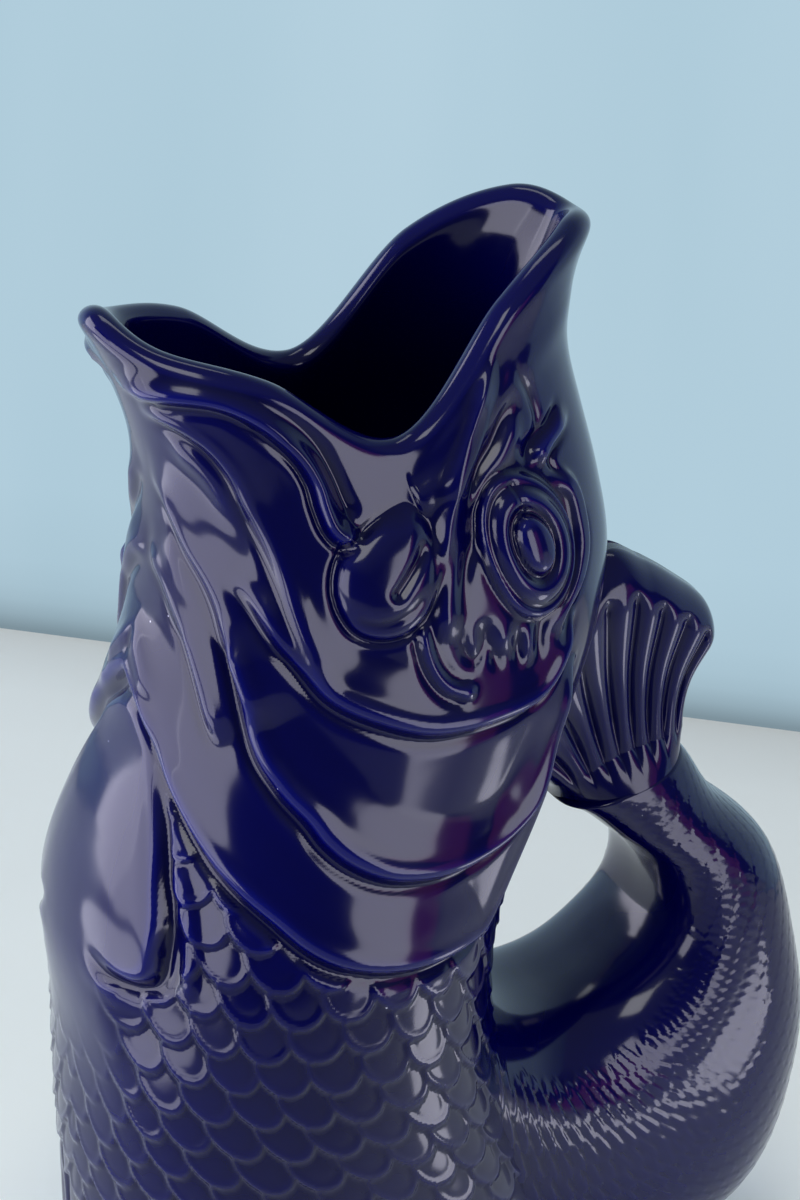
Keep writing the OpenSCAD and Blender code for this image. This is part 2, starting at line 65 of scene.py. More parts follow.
FAN = np.array([[-1, 0, -.03], [-.75, .07, .33], [-.5, .21, .67], [-.25, .353, .9], [0, .53, 1],
                [.25, .68, .925], [.5, .82, .82], [.75, .945, .7], [1, 1, .55]])
FAN_THICK = [(0, 1), (.25, .9), (.6, .78), (.85, .9), (1, .95)]
FAN_ROOT, FAN_ROUND, FAN_SQUARE, FAN_FLAT = 0.25, 0.84, 4, 0.25


# Curves and small helpers
def through(table, x, flat=False):
    """A smooth curve through a table of (place, value) rows."""
    p = np.asarray(table, float)
    xs, ys = p[:, 0], p[:, 1]
    m = np.empty(len(p))
    m[1:-1] = (ys[2:] - ys[:-2]) / (xs[2:] - xs[:-2])
    m[0] = 0 if flat else (ys[1] - ys[0]) / (xs[1] - xs[0])
    m[-1] = 0 if flat else (ys[-1] - ys[-2]) / (xs[-1] - xs[-2])
    x = np.clip(x, xs[0], xs[-1])
    i = np.clip(np.searchsorted(xs, x, side="right") - 1, 0, len(xs) - 2)
    h = xs[i + 1] - xs[i]
    t = (x - xs[i]) / h
    return ((2 * t**3 - 3 * t**2 + 1) * ys[i] + (t**3 - 2 * t**2 + t) * h * m[i]
            + (-2 * t**3 + 3 * t**2) * ys[i + 1] + (t**3 - t**2) * h * m[i + 1])


def power(x, p):
    return np.sign(x) * np.abs(x) ** p


def smooth(x):
    """From 0 to 1 with soft ends as x goes from 0 to 1."""
    x = np.clip(x, 0, 1)
    return x * x * (3 - 2 * x)


def unit(n):
    return n / np.maximum(np.linalg.norm(n, axis=-1, keepdims=True), 1e-12)


def fold(a):
    """Degrees from the back, the same on both sides."""
    return np.abs((np.asarray(a, float) + 180) % 360 - 180)


def ring_mean(h):
    """Each value's mean over its four neighbours, where the columns close in a ring."""
    return (np.roll(h, 1, 1) + np.roll(h, -1, 1) + np.vstack([h[:1], h[:-1]])
            + np.vstack([h[1:], h[-1:]])) / 4


def half_mean(h):
    """The same on the half grid, which its first and last columns mirror."""
    return (np.vstack([h[:1], h[:-1]]) + np.vstack([h[1:], h[-1:]]) + np.hstack([h[:, 1:2], h[:, :-1]])
            + np.hstack([h[:, 1:], h[:, -2:-1]])) / 4


# The frame's surfaces, which follow the solids
def rim_z(a):
    """The rim's height at an angle round the mouth."""
    f = fold(a)
    drop = np.where(f <= 90, CORNER_DROP * through(BACK_DIP, f, True),
                    SPOUT_DROP + (CORNER_DROP - SPOUT_DROP) * through(FRONT_DIP, f, True))
    return JUG_H - BEAD_R - drop


def rim(a):
    r = np.radians(a)
    return np.stack([MOUTH_L * (SHIFT + np.cos(r) / 2), MOUTH_W / 2 * np.sin(r), rim_z(a)], -1)


def rim_out(a):
    r = np.radians(a)
    return unit(np.stack([MOUTH_W * np.cos(r), MOUTH_L * np.sin(r)], -1))


def skin(a, v, inset=0.0):
    """The jug's surface at an angle round it and a level: 0 the bottom, 1 the shoulder, 2 the rim."""
    a, v = np.broadcast_arrays(np.asarray(a, float), np.asarray(v, float))
    r = np.radians(a)
    c, sn = np.cos(r), np.sin(r)
    top = (rim_z(a) - FOOT_H) / (JUG_H - FOOT_H)
    s = np.where(v <= 1, SHOULDER * v, SHOULDER + (v - 1) * (top - SHOULDER))
    x0, x1, b = BODY_L * through(FRONT, s), BODY_L * through(BACK, s), BODY_W / 2 * through(SIDE, s)
    half, mid = (x1 - x0) / 2, (x1 + x0) / 2
    p = 2 / SQUARE
    at = np.stack([mid + (half - inset) * power(c, p), (b - inset) * power(sn, p)], -1)
    n = unit(np.stack([b * c, half * sn], -1))
    w = np.clip(v - 1, 0, 1) ** (CORNER_TURN + (LIP_TURN - CORNER_TURN) * c**2)
    edge = BEAD_R * (-1 if inset > 0 else 1)
    target = rim(a)[..., :2] + rim_out(a) * edge
    lift = 0.0 * w
    if inset == 0:
        lift = ROLL_H * np.exp(-((v - 1 - ROLL_LEVEL) / ROLL_SPREAD) ** 2)
        lift = lift * np.abs(np.sin(r / 2)) * (fold(a) < 90)
    at = at * (1 - w[..., None]) + target * w[..., None] + n * lift[..., None]
    return np.concatenate([at, (FOOT_H + (JUG_H - FOOT_H) * s)[..., None]], -1)


LAST = len(TAIL) - 1.0
STEPS = np.arange(len(TAIL))
LOOP_Z = TAIL_CLEAR - REACH * TAIL[2, 3] * np.sin(np.radians(TAIL[2, 2]))


def tail_column(j, s):
    return through(np.c_[STEPS, TAIL[:, j]], s)


def loop_point(a, r):
    a = np.radians(a)
    return np.stack([LOOP_X + r * np.cos(a), LOOP_Z + r * np.sin(a)], -1)


def tail_ring(s, a, inset=0.0):
    """The tail's surface: at station s of its table, at an angle round it."""
    s, a = np.broadcast_arrays(np.asarray(s, float), np.asarray(a, float))
    i = loop_point(tail_column(0, s), LOOP_R * tail_column(1, s) + inset)
    o = loop_point(tail_column(2, s), REACH * tail_column(3, s) - inset)
    r = np.radians(a)
    m = 2 / np.where(np.cos(r) < 0, INNER_SQUARE, OUTER_SQUARE)
    p = (o + i) / 2 + (o - i) / 2 * power(np.cos(r), m)[..., None]
    half = TAIL_W / 2 * tail_column(4, s) - inset
    return np.stack([p[..., 0], half * power(np.sin(r), m), p[..., 1]], -1)


WAIST_IN = loop_point(TAIL[-1, 0], LOOP_R * TAIL[-1, 1])
WAIST_OUT = loop_point(TAIL[-1, 2], REACH * TAIL[-1, 3])
WAIST_H = (WAIST_IN[1] + WAIST_OUT[1]) / 2
WAIST_HALF = TAIL_W / 2 * TAIL[-1, 4]


def fan_mid(g, q):
    """The tail fin's middle sheet: g from the waist out to the edge, q across it."""
    root = BODY_L * FAN_ROOT
    edge = np.stack([root + (FAN_X - root) * through(FAN[:, [0, 1]], q),
                     WAIST_H + FAN_H * through(FAN[:, [0, 2]], q)], -1)
    waist = (WAIST_IN + WAIST_OUT) / 2 + (WAIST_OUT - WAIST_IN) / 2 * q[..., None]
    d = WAIST_OUT - WAIST_IN
    bend = waist + np.array([-d[1], d[0]]) / np.hypot(*d) * FAN_H * FAN_BEND
    k = g[..., None]
    return waist * (1 - k) ** 2 + bend * 2 * k * (1 - k) + edge * k**2


# The skin's grid
def spaced(stops):
    """Values from the first stop to the last, in steps that each stop names."""
    out = [np.array([stops[0][0]])]
    for (a, step), (b, _) in zip(stops, stops[1:]):
        n = max(1, int(round((b - a) / step)))
        out.append(a + (b - a) * np.arange(1, n + 1) / n)
    return np.concatenate(out)


half_turns = spaced([(0, 1.1), (42, 0.5), (124, 0.62), (180, 1)])
# Degrees round from the back; the side that the photograph shows lies beyond 180
TURNS = np.concatenate([half_turns, 360 - half_turns[-2:0:-1]])
LEVELS = spaced([(0, 0.0045), (0.64, 0.0036), (1.0, 0.0085), (2.0, 1)])
LEVEL = LEVELS[:, None] + 0 * TURNS[None, :]
BASE = skin(TURNS[None, :], LEVELS[:, None])


def grid_normals(p):
    """Unit normals of a ring grid, outwards where rows rise and columns turn anticlockwise."""
    return unit(np.cross(np.roll(p, -1, 1) - np.roll(p, 1, 1), np.gradient(p, axis=0)))


# The chart: millimetres along the skin from its widest line, which is its column 180, and up
CHART_TURNS = np.linspace(0, 180, 361)
CHART_LEVELS = np.linspace(0, 2, 201)
WIDEST = 180
# Past the front line it goes on by this many millimetres a degree
PAST_FRONT = 0.85
charted = skin(CHART_TURNS[None, :], CHART_LEVELS[:, None])
steps = np.linalg.norm(np.diff(charted, axis=1), axis=-1)
run = np.concatenate([np.zeros((len(CHART_LEVELS), 1)), np.cumsum(steps, 1)], 1)
RUN = run[:, WIDEST:WIDEST + 1] - run
RISE = charted[..., 2]


def lookup(values, f, v):
    """A value between the chart's grid points."""
    x = np.clip(f, 0, 180) / 180 * (len(CHART_TURNS) - 1)
    y = np.clip(v, 0, 2) / 2 * (len(CHART_LEVELS) - 1)
    i, j = np.minimum(x.astype(int), len(CHART_TURNS) - 2), np.minimum(y.astype(int), len(CHART_LEVELS) - 2)
    x, y = x - i, y - j
    return (values[j, i] * (1 - x) * (1 - y) + values[j, i + 1] * x * (1 - y)
            + values[j + 1, i] * (1 - x) * y + values[j + 1, i + 1] * x * y)


def chart(f, v):
    """The chart's place of (degrees, level); beyond 180 degrees it carries on past the front line."""
    f, v = np.asarray(f, float), np.asarray(v, float)
    over = np.maximum(f - 180, 0)
    edge = lookup(RUN, np.minimum(f, 180), v)
    return np.stack([edge - over * PAST_FRONT, lookup(RISE, np.minimum(f, 180), v)], -1)


half_n = len(half_turns)
HALF_TURN = half_turns[None, :] + 0 * LEVELS[:, None]
HALF_LEVEL = LEVELS[:, None] + 0 * HALF_TURN
HALF_CHART = chart(HALF_TURN, HALF_LEVEL)
CHART_X, CHART_Z = HALF_CHART[..., 0], HALF_CHART[..., 1]


def spline(points, step=0.8):
    """Points along a smooth curve through the given ones."""
    p = np.asarray(points, float)
    ext = np.concatenate([[2 * p[0] - p[1]], p, [2 * p[-1] - p[-2]]])
    out = []
    for i in range(1, len(ext) - 2):
        a, b, c, d = ext[i - 1:i + 3]
        n = max(2, int(np.linalg.norm(c - b) / step))
        t = (np.arange(n) / n)[:, None]
        out.append(0.5 * (2 * b + (c - a) * t + (2 * a - 5 * b + 4 * c - d) * t**2
                          + (3 * b - a - 3 * c + d) * t**3))
    out.append(p[-1:])
    return np.concatenate(out)


def along(line, reach):
    """Near a line: the grid's mask, its distance (positive to the left), the way along and the length."""
    c = spline(chart(*np.array(line).T))
    lo, hi = c.min(0) - reach, c.max(0) + reach
    mask = (CHART_X > lo[0]) & (CHART_X < hi[0]) & (CHART_Z > lo[1]) & (CHART_Z < hi[1])
    q = HALF_CHART[mask]
    best = np.full(len(q), 1e9)
    sign = np.ones(len(q))
    way = np.zeros(len(q))
    length = np.concatenate([[0], np.cumsum(np.linalg.norm(np.diff(c, axis=0), axis=1))])
    for k in range(len(c) - 1):
        a, d = c[k], c[k + 1] - c[k]
        t = np.clip(((q - a) @ d) / (d @ d), 0, 1)
        w = q - a - t[:, None] * d
        dist = (w * w).sum(1)
        near = dist < best
        best[near] = dist[near]
        sign[near] = np.where(d[0] * w[near, 1] - d[1] * w[near, 0] >= 0, 1, -1)
        way[near] = length[k] + t[near] * (length[k + 1] - length[k])
    return mask, np.sqrt(best) * sign, way, length[-1]


def ends(way, total, a, b):
    """A fade over the first a and the last b millimetres of a line."""
    return smooth(way / max(a, 1e-6)) * smooth((total - way) / max(b, 1e-6))


RELIEF = np.zeros_like(CHART_X)


def bead(line, h, w, a=4.0, b=4.0, flat=0.0):
    """A rounded ridge, or a groove where h is negative: w wide each way from a band of half width flat."""
    mask, d, s, total = along(line, 3 * w + flat)
    x = np.maximum(np.abs(d) - flat, 0) / w
    RELIEF[mask] += h * np.exp(-x * x) * ends(s, total, a, b)


def lip(line, h, nose=1.6, ramp=12.0, dip=0.5, a=8.0, b=8.0, roll=0.0):
    """A sheet that ends in a rounded lip on the line, raised to its left, over a groove to its right."""
    mask, d, s, total = along(line, max(ramp * 1.6, 6))
    up = h * smooth((d + nose * 0.45) / nose) * (1 - smooth((d - nose) / ramp))
    up += roll * np.exp(-((d - nose * 1.1) / (nose * 0.85)) ** 2)
    up -= dip * np.exp(-((d + nose * 0.75) / (nose * 0.55)) ** 2)
    RELIEF[mask] += up * ends(s, total, a, b)


# The head's relief, the same on both sides: a line is a list of (degrees from the back, level)
# The lip's roll and its curl at the corner of the mouth
lip([(178.5, 1.80), (159.2, 1.867), (145.4, 1.92), (134.5, 1.93), (127.1, 1.905), (120.9, 1.85),
     (116.8, 1.78), (115.5, 1.70), (115.9, 1.61), (115.3, 1.52), (112.4, 1.482), (108.2, 1.50),
     (104.8, 1.55)], 1.9, 1.7, 5.5, 0.7, 14, 6, roll=0.9)
bead([(140, 1.99), (129.6, 1.99), (121, 1.985), (114.6, 1.95), (110.4, 1.89), (108.6, 1.80), (107.8, 1.70),
      (106.6, 1.62)], -0.9, 2.0, 8, 3)
# The gills' folds down the throat
lip([(168, 1.735), (158, 1.785), (149.5, 1.79), (142.2, 1.744), (138.5, 1.657), (137.2, 1.541),
     (134.2, 1.417), (131.4, 1.30), (127.6, 1.139), (123.2, 1.02), (117, .962)], 1.5, 1.8, 11, 0.5, 9, 14,
    roll=0.6)
lip([(178, 1.47), (170, 1.44), (160.8, 1.314), (154.9, 1.246), (150.6, 1.175), (146.1, 1.06), (140.4, .975),
     (133.9, .915)], 1.5, 1.9, 11, 0.4, 9, 9, roll=0.5)
bead([(160, 1.70), (152, 1.69), (146, 1.64), (142.8, 1.56), (139.5, 1.46)], 1.1, 2.6, 6, 8)
lip([(180, 1.20), (172, 1.17), (164, 1.08), (158.5, 1.0), (150, .93), (143, .885)], 1.3, 1.8, 9, 0.4, 6, 9,
    roll=0.4)
bead([(174, 1.33), (167, 1.28), (160, 1.18), (154, 1.08)], 0.9, 3.2, 8, 8)
bead([(186, 1.02), (180, .99), (173, .955), (166, .915)], 0.8, 2.4, 5, 6)
# The three gill edges, each over the next
GILL1 = [(146, 1.27), (140, 1.214), (132.5, 1.084), (126, .996), (118, .958), (106.5, .93), (93, .908),
         (79, .906), (65, .916), (57, .96), (54, 1.03)]
GILL2 = [(150, 1.14), (146, 1.052), (136, .908), (127, .857), (118.1, .822), (112.6, .797), (105.1, .772),
         (95.8, .751), (87.5, .741), (78.1, .738), (69.0, .743), (61.1, .760), (55.4, .79), (51.5, .86),
         (49.5, .95)]
GILL3 = [(190, .96), (184.2, .945), (174.5, .914), (162.4, .865), (149.9, .810), (138.4, .765),
         (130.0, .738), (119.9, .709), (109.9, .677), (100.5, .655), (89.8, .640), (77.9, .633),
         (66.1, .635), (58.2, .642), (52.5, .68), (49, .75), (46.5, .86)]
lip(GILL1, 2.1, 1.9, 11, 0.9, 10, 10, roll=1.0)
lip(GILL2, 2.0, 1.9, 11, 0.9, 12, 12, roll=1.0)
lip(GILL3, 2.6, 1.7, 16, 0.9, 10, 14, roll=0.5)
# The upper jaw's band down to its bulb
bead([(66, 1.97), (75.5, 1.93), (82, 1.84), (86.5, 1.72), (90.0, 1.58), (92.8, 1.46)], 1.0, 3.2, 10, 8,
     flat=1.2)
# Long ridges and grooves of the cheek
bead([(67.6, 2.0), (71.9, 1.99), (75.0, 1.943), (78.5, 1.865), (84.2, 1.788), (87.8, 1.63), (91.4, 1.479)],
     -0.8, 1.0, 8, 8)
CHEEK = [(65.1, 2.0), (69.9, 1.983), (72.9, 1.92), (77.1, 1.85), (81.9, 1.779), (85.2, 1.656),
         (89.6, 1.505), (93.2, 1.364), (96.6, 1.251), (98.8, 1.171)]
bead(CHEEK, 1.0, 0.85, 8, 4, flat=0.5)
bead([(67.6, 1.984), (72.9, 1.88), (77.8, 1.821), (82.5, 1.719), (85.8, 1.611), (88.8, 1.431),
      (90.5, 1.235), (90.9, 1.028)], 1.4, 1.2, 10, 6, flat=1.4)
bead([(60.0, 1.752), (66.0, 1.738), (70.5, 1.711), (75.2, 1.72), (79.1, 1.659)], -1.3, 1.0, 6, 3)
bead([(61.0, 1.699), (65.1, 1.663), (70.4, 1.644), (75.8, 1.627), (79.2, 1.583)], 1.1, 0.9, 5, 4, flat=0.8)
bead([(76.9, 1.516), (83.0, 1.445), (88.0, 1.29), (89.1, 1.123), (87.6, 0.995), (85.1, 0.983),
      (83.8, 0.994), (83.5, 1.139)], -0.9, 1.3, 6, 3)
bead([(60.5, 1.89), (56.6, 1.741), (54.6, 1.615), (59.5, 1.578), (66.0, 1.585)], -0.7, 1.1, 8, 4)
# The hook behind the jaw, and the folds under the eye
bead([(96.1, 1.184), (96.2, 1.049), (93.9, 0.983), (90.4, 0.961), (84.1, 0.946)], 1.1, 0.8, 5, 3, flat=0.6)
bead([(98.8, 1.171), (98.6, 1.056), (95.9, 0.976), (91.6, 0.95), (86.2, 0.938)], -0.7, 0.9, 5, 4)
bead([(94.0, 1.246), (95.2, 1.08), (93.0, 0.985), (89.6, 0.966), (85.4, 0.96)], -0.7, 0.8, 6, 3)
bead([(83.0, 1.16), (82.6, 1.06), (80.6, 0.985), (77.6, 0.958)], -0.8, 1.5, 7, 5)
bead([(79.4, 1.10), (78.6, 1.03), (77.0, 0.985)], 0.9, 1.8, 6, 4)
bead([(75.4, 1.08), (74.8, 1.01), (72.6, 0.958)], -0.8, 1.4, 6, 5)
bead([(71.2, 1.07), (71.6, 1.00), (70.6, 0.955)], 0.9, 1.6, 6, 5)
bead([(66.6, 1.09), (67.8, 1.02), (67.6, 0.955)], -0.7, 1.3, 6, 5)
# The lid behind the eye, and the drop above it
bead([(55.8, 1.466), (49.9, 1.37), (49.0, 1.28), (50.2, 1.181), (54.9, 1.096), (60.8, 1.038),
      (65.4, 0.981)], 1.7, 1.2, 7, 7, flat=1.1)
bead([(44.0, 1.295), (46.2, 1.181), (51.2, 1.079), (57.6, 0.996), (60.9, 0.951)], -0.8, 1.2, 7, 5)
bead([(39.2, 1.569), (47.4, 1.544), (54.2, 1.536), (59.8, 1.514)], 1.3, 0.9, 7, 3, flat=0.8)
bead([(42.5, 1.617), (49.6, 1.579), (58.4, 1.569), (63.4, 1.536)], -1.1, 0.9, 7, 3)
bead([(40.8, 1.515), (50.6, 1.501), (54.0, 1.47), (49.8, 1.39)], -0.9, 0.9, 6, 5)

# The eye: a ball in a broad ring, with a thin lid round it
EYE_AT = (67.0, 1.302)
EYE_SHIFT, EYE_WIDE, EYE_TALL = 1.0, 0.86, 1.12
EYE_ROUND, LID_R, LID_GROOVE_R, RING_R = 12.9, 12.3, 10.7, 8.4
BALL_GROOVE_R, BALL_R, MOAT_R = 5.9, 5.2, 13.7
eye_at = chart(*np.array(EYE_AT))
eye_x, eye_z = (CHART_X - eye_at[0] + EYE_SHIFT) / EYE_WIDE, (CHART_Z - eye_at[1]) / EYE_TALL
eye_r = np.hypot(eye_x, eye_z)


def swell(r, c, w, p=0.7):
    """A rounded ring at radius c, w wide each way."""
    x = np.clip(np.abs(r - c) / w, 0, 1)
    return np.cos(x * np.pi / 2) ** (2 * p)


ball = np.hypot((eye_x + 0.3) / 0.90, eye_z - 0.2)
eye_h = 2.9 * np.sqrt(np.clip(1 - (eye_r / EYE_ROUND) ** 2, 0, 1)) + 0.3
eye_h += 0.55 * swell(eye_r, LID_R, 1.3)
eye_h -= 0.5 * swell(eye_r, LID_GROOVE_R, 1.0)
eye_h += 0.5 * swell(eye_r, RING_R, 2.2, 1.0)
eye_h -= 1.3 * swell(ball, BALL_GROOVE_R, 1.35)
eye_h += 1.3 * np.sqrt(np.clip(1 - (ball / BALL_R) ** 2, 0, 1))
# A short split in the ring above the ball
split = 0.55 * np.exp(-((eye_x + 0.1) / 0.75) ** 2)
eye_h -= split * smooth((eye_z - 5.2) / 1.2) * smooth((12.2 - eye_z) / 1.5)
eye_h -= 0.7 * swell(eye_r, MOAT_R, 1.1)
RELIEF = RELIEF * (1 - smooth((14.3 - eye_r) / 1.8)) + eye_h * smooth((15.2 - eye_r) / 2.2)


# The jaw's bulb and the fins that lie on the skin
def inside(line):
    """Signed distance in millimetres to a closed outline, positive within it."""
    c = spline(chart(*np.array(line + line[:1]).T))
    q = HALF_CHART.reshape(-1, 2)
    lo, hi = c.min(0) - 14, c.max(0) + 14
    take = ((q > lo) & (q < hi)).all(1)
    out = np.full(len(q), -14.0)
    s = q[take]
    best = np.full(len(s), 1e9)
    cross = np.zeros(len(s), bool)
    for a, b in zip(c[:-1], c[1:]):
        d = b - a
        t = np.clip(((s - a) @ d) / max(d @ d, 1e-12), 0, 1)
        w = s - a - t[:, None] * d
        best = np.minimum(best, (w * w).sum(1))
        hit = (a[1] > s[:, 1]) != (b[1] > s[:, 1])
        if d[1] != 0:
            cross ^= hit & (s[:, 0] < a[0] + d[0] * (s[:, 1] - a[1]) / d[1])
    out[take] = np.where(cross, 1, -1) * np.sqrt(best)
    return out.reshape(CHART_X.shape)


BULB = [(92.6, 1.775), (99.4, 1.669), (107.6, 1.514), (113.2, 1.417), (116.1, 1.318), (116.0, 1.228),
        (112.9, 1.145), (107.9, 1.109), (102.4, 1.119), (98.4, 1.17), (95.0, 1.265), (92.1, 1.395),
        (90.9, 1.511), (90.5, 1.63), (91.4, 1.723)]
bulb_d = inside(BULB)
bulb_top = chart(92.6, 1.775)[1]
rising = smooth((bulb_top + 1 - CHART_Z) / 6)
into = smooth((bulb_d + 0.7) / 1.4)
dome = 3.5 * np.sqrt(1 - (1 - np.clip((bulb_d + 0.5) / 8.5, 0, 1)) ** 2)
RELIEF = RELIEF * (1 - into * rising) + dome * rising
RELIEF -= 0.8 * np.exp(-((bulb_d + 1.2) / 0.8) ** 2) * rising
bead([(91.6, 1.616), (94.1, 1.516), (98.8, 1.397), (104.6, 1.262)], -1.4, 1.2, 5, 3)
bead([(114.1, 1.201), (110.0, 1.176), (105.1, 1.183), (99.4, 1.244), (95.4, 1.341)], -0.55, 1.1, 3, 4)

PECTORAL = [(176, .893), (171, .878), (166.5, .859), (160, .823), (154.9, .782), (150.6, .730),
            (147.6, .692), (146.8, .652), (147.3, .623), (151.2, .609), (157.2, .607), (166.6, .612),
            (174.1, .617), (184, .617), (196, .61), (199, .70), (199, .84), (189, .90)]
PELVIC = [(164, .268), (168.5, .25), (171.2, .21), (171.6, .16), (169, .105), (163, .068), (156, .058),
          (149, .062), (144.5, .09), (144.5, .135), (148.5, .19), (154.5, .24), (159.5, .264)]


def fin(outline, root, h, rays, share, near=60.0, low=0.0, fade=0.0):
    """A raised leaf with rays from its root, which show within so many millimetres of its edge."""
    d = inside(outline)
    heights = chart(*np.array(outline).T)[:, 1]
    fallen = (heights.max() - CHART_Z) / (heights.max() - heights.min())
    lower_front = smooth((HALF_TURN - 155) / 14) * smooth((fallen - 0.35) / 0.4) * (fade > 0)
    covered = smooth((d + 0.6 + 2 * lower_front) / (2.2 + fade * lower_front))
    leaf = (h + low * smooth(fallen * 1.05)) * covered
    at = chart(*np.array(root))
    turned = np.arctan2(CHART_X - at[0], CHART_Z - at[1])
    far = np.hypot(CHART_X - at[0], CHART_Z - at[1])
    rayed = share * (np.cos(turned * rays) - 0.2) * smooth((d - 0.8) / 2.5) * smooth((far - 6) / 12)
    leaf += rayed * np.exp(-np.maximum(d, 0) / near)
    leaf -= (0.5 - 0.4 * lower_front) * np.exp(-((d + 1.3) / 0.8) ** 2)
    RELIEF[:] = RELIEF * (1 - 0.85 * smooth((d + 1.0) / 1.5)) + leaf
    return d


pectoral_d = fin(PECTORAL, (176, .92), 0.7, 30, 0.25, 4.0, 3.7, 4.0)
pelvic_d = fin(PELVIC, (166, .31), 0.7, 20, 0.3, low=2.2)
# The breast swells round the pectoral fin, and ahead of the fin it is smooth
fuller = 3.9 * np.exp(-(np.minimum(HALF_LEVEL - .61, 0) / .095) ** 2) * (HALF_LEVEL < .72)
fuller = fuller * smooth((HALF_TURN - 146) / 26)
RELIEF += fuller * (1 - smooth((pectoral_d + 1.6) / 2.6))
front = np.where(HALF_LEVEL > 0.62, 0.5 + 3.8 * smooth((0.885 - HALF_LEVEL) / 0.25),
                 4.3 * np.exp(-((0.62 - HALF_LEVEL) / 0.11) ** 2))
in_front = smooth((HALF_TURN - 153) / 17) * smooth((0.90 - HALF_LEVEL) / 0.05)
in_front *= smooth((HALF_LEVEL - 0.30) / 0.05)
RELIEF = RELIEF * (1 - in_front) + front * in_front
# The smooth shelf under the pectoral fin, and the folded edge behind it
bead([(172, .60), (169.5, .598), (164.4, .591), (157.6, .584), (151.2, .583), (145, .59)], 0.7, 2.2, 12, 5)
bead([(150, .765), (145.5, .735), (141.5, .70), (139, .66), (138.3, .625), (136, .607)], 1.1, 1.5, 6, 4)


# The scales
def wobble(x, y, k, seed):
    """A smooth wave field between -1 and 1."""
    r = np.random.RandomState(seed)
    out = 0
    for _ in range(5):
        a, b, c = r.uniform(-1, 1, 3)
        out = out + np.sin((x * a + y * b) * k + c * 9)
    return out / 3.2


SCALE_W, SCALE_STEP, SCALE_H = 10.4, 7.6, 1.3
LEAN = 0.30


def scales(x, y, w, p, h, jitter=0.1, seed=3):
    """Overlapped scales with free edges towards -y: w apart, p from row to row."""
    x = x + wobble(x, y, 2.0 / w, seed) * jitter * w
    y = y + wobble(x, y, 1.6 / w, seed + 1) * jitter * p
    half, deep = 0.635 * w, 1.03 * p
    out = np.full_like(x, -0.2)
    row, fine = np.floor(y / p), min(half, deep)
    for dr in range(-1, 4):
        k = row + dr
        shift = np.mod(k, 2) * 0.5
        col = np.round(x / w - shift)
        for dc in (-1, 0, 1):
            cx, cy = (col + dc + shift) * w, k * p
            across, fall = (x - cx - LEAN * (cy - y)) / half, (cy - y) / deep
            within = (1 - np.hypot(across, np.maximum(fall, 0))) * fine
            up = 1 - (y - (cy - deep)) / (1.75 * p) - 0.20 * across
            ridge = 0.12 * np.exp(-((within - 0.14 * w) / (0.08 * w)) ** 2)
            hollow = 0.05 * np.exp(-((within - 0.24 * w) / (0.08 * w)) ** 2)
            shown = (up + (ridge - hollow)) * smooth(within / (0.12 * w))
            out = np.maximum(out, shown - 0.2 * (within <= 0))
    return h * out


# The cheek's and the throat's folds are soft
CALM_PASSES, SOFTEN_PASSES = 9, 2
cheek = smooth((HALF_TURN - 58) / 4) * (1 - smooth((HALF_TURN - 92) / 4))
cheek *= 1 - smooth((14.8 - eye_r) / 1.5)
cheek *= 1 - smooth((bulb_d + 1.8) / 2)
cheek *= smooth((HALF_LEVEL - 0.98) / 0.05)
throat = smooth((HALF_TURN - 118) / 6) * smooth((HALF_LEVEL - 1.0) / 0.06)
throat *= 1 - smooth((HALF_LEVEL - 1.84) / 0.06)
calm = np.maximum(cheek, throat)
for _ in range(CALM_PASSES):
    RELIEF += calm * 0.8 * (half_mean(RELIEF) - RELIEF)
for _ in range(SOFTEN_PASSES):
    RELIEF = (RELIEF + half_mean(RELIEF)) / 2

# Scales cover what lies below the last gill edge, except the fins, the nape and the breast
mask, distance, _, _ = along(GILL3, 200)
below = np.full_like(CHART_X, -99.0)
below[mask] = -distance
below = np.where(HALF_LEVEL < 0.60, np.maximum(below, 2), below)
shelf = inside([(183, .70), (150, .70), (142, .665), (141, .62), (146, .60), (158, .594), (170, .60),
                (180, .63)])
cover = smooth((below - 1.4) / 2.6) * smooth(HALF_LEVEL / 0.02 + 0.35)
cover *= 1 - smooth((pectoral_d + 2.2) / 1.4)
cover *= 1 - smooth((pelvic_d + 1.8) / 1.4)
cover *= 1 - 0.9 * smooth((shelf + 1.0) / 2)
cover *= 1 - smooth((HALF_LEVEL - 0.62) / 0.08) * (1 - smooth((HALF_TURN - 45) / 6))
cover *= 1 - smooth((HALF_TURN - 150) / 18) * smooth((HALF_LEVEL - 0.33) / 0.19)
RELIEF += cover * scales(CHART_X + 2.0, CHART_Z, SCALE_W, SCALE_STEP, SCALE_H, 0.09)

# Both halves, and the surface that they give
full = np.concatenate([RELIEF, RELIEF[:, -2:0:-1]], 1)
full = 0.6 * full + 0.4 * ring_mean(full)
# The relief dies out just below the rim
EASE = smooth((2.0 - LEVEL) / 0.05)
OUT = BASE + grid_normals(BASE) * (full * EASE)[..., None]
rows, cols = LEVEL.shape


# Shader nodes and materials
def feed(tree, node, inputs):
    """Gives each named input a value, or another node's output."""
    for key, value in inputs.items():
        if isinstance(value, bpy.types.NodeSocket):
            tree.links.new(value, node.inputs[key])
        else:
            node.inputs[key].default_value = value


def add(tree, kind, inputs=None, **settings):
    """A new shader node, with its settings and inputs; gives its outputs."""
    node = tree.nodes.new("ShaderNode" + kind)
    for key, value in settings.items():
        setattr(node, key, value)
    feed(tree, node, inputs or {})
    return node.outputs


def calc(tree, operation, *values):
    return add(tree, "Math", dict(enumerate(values)), operation=operation)[0]


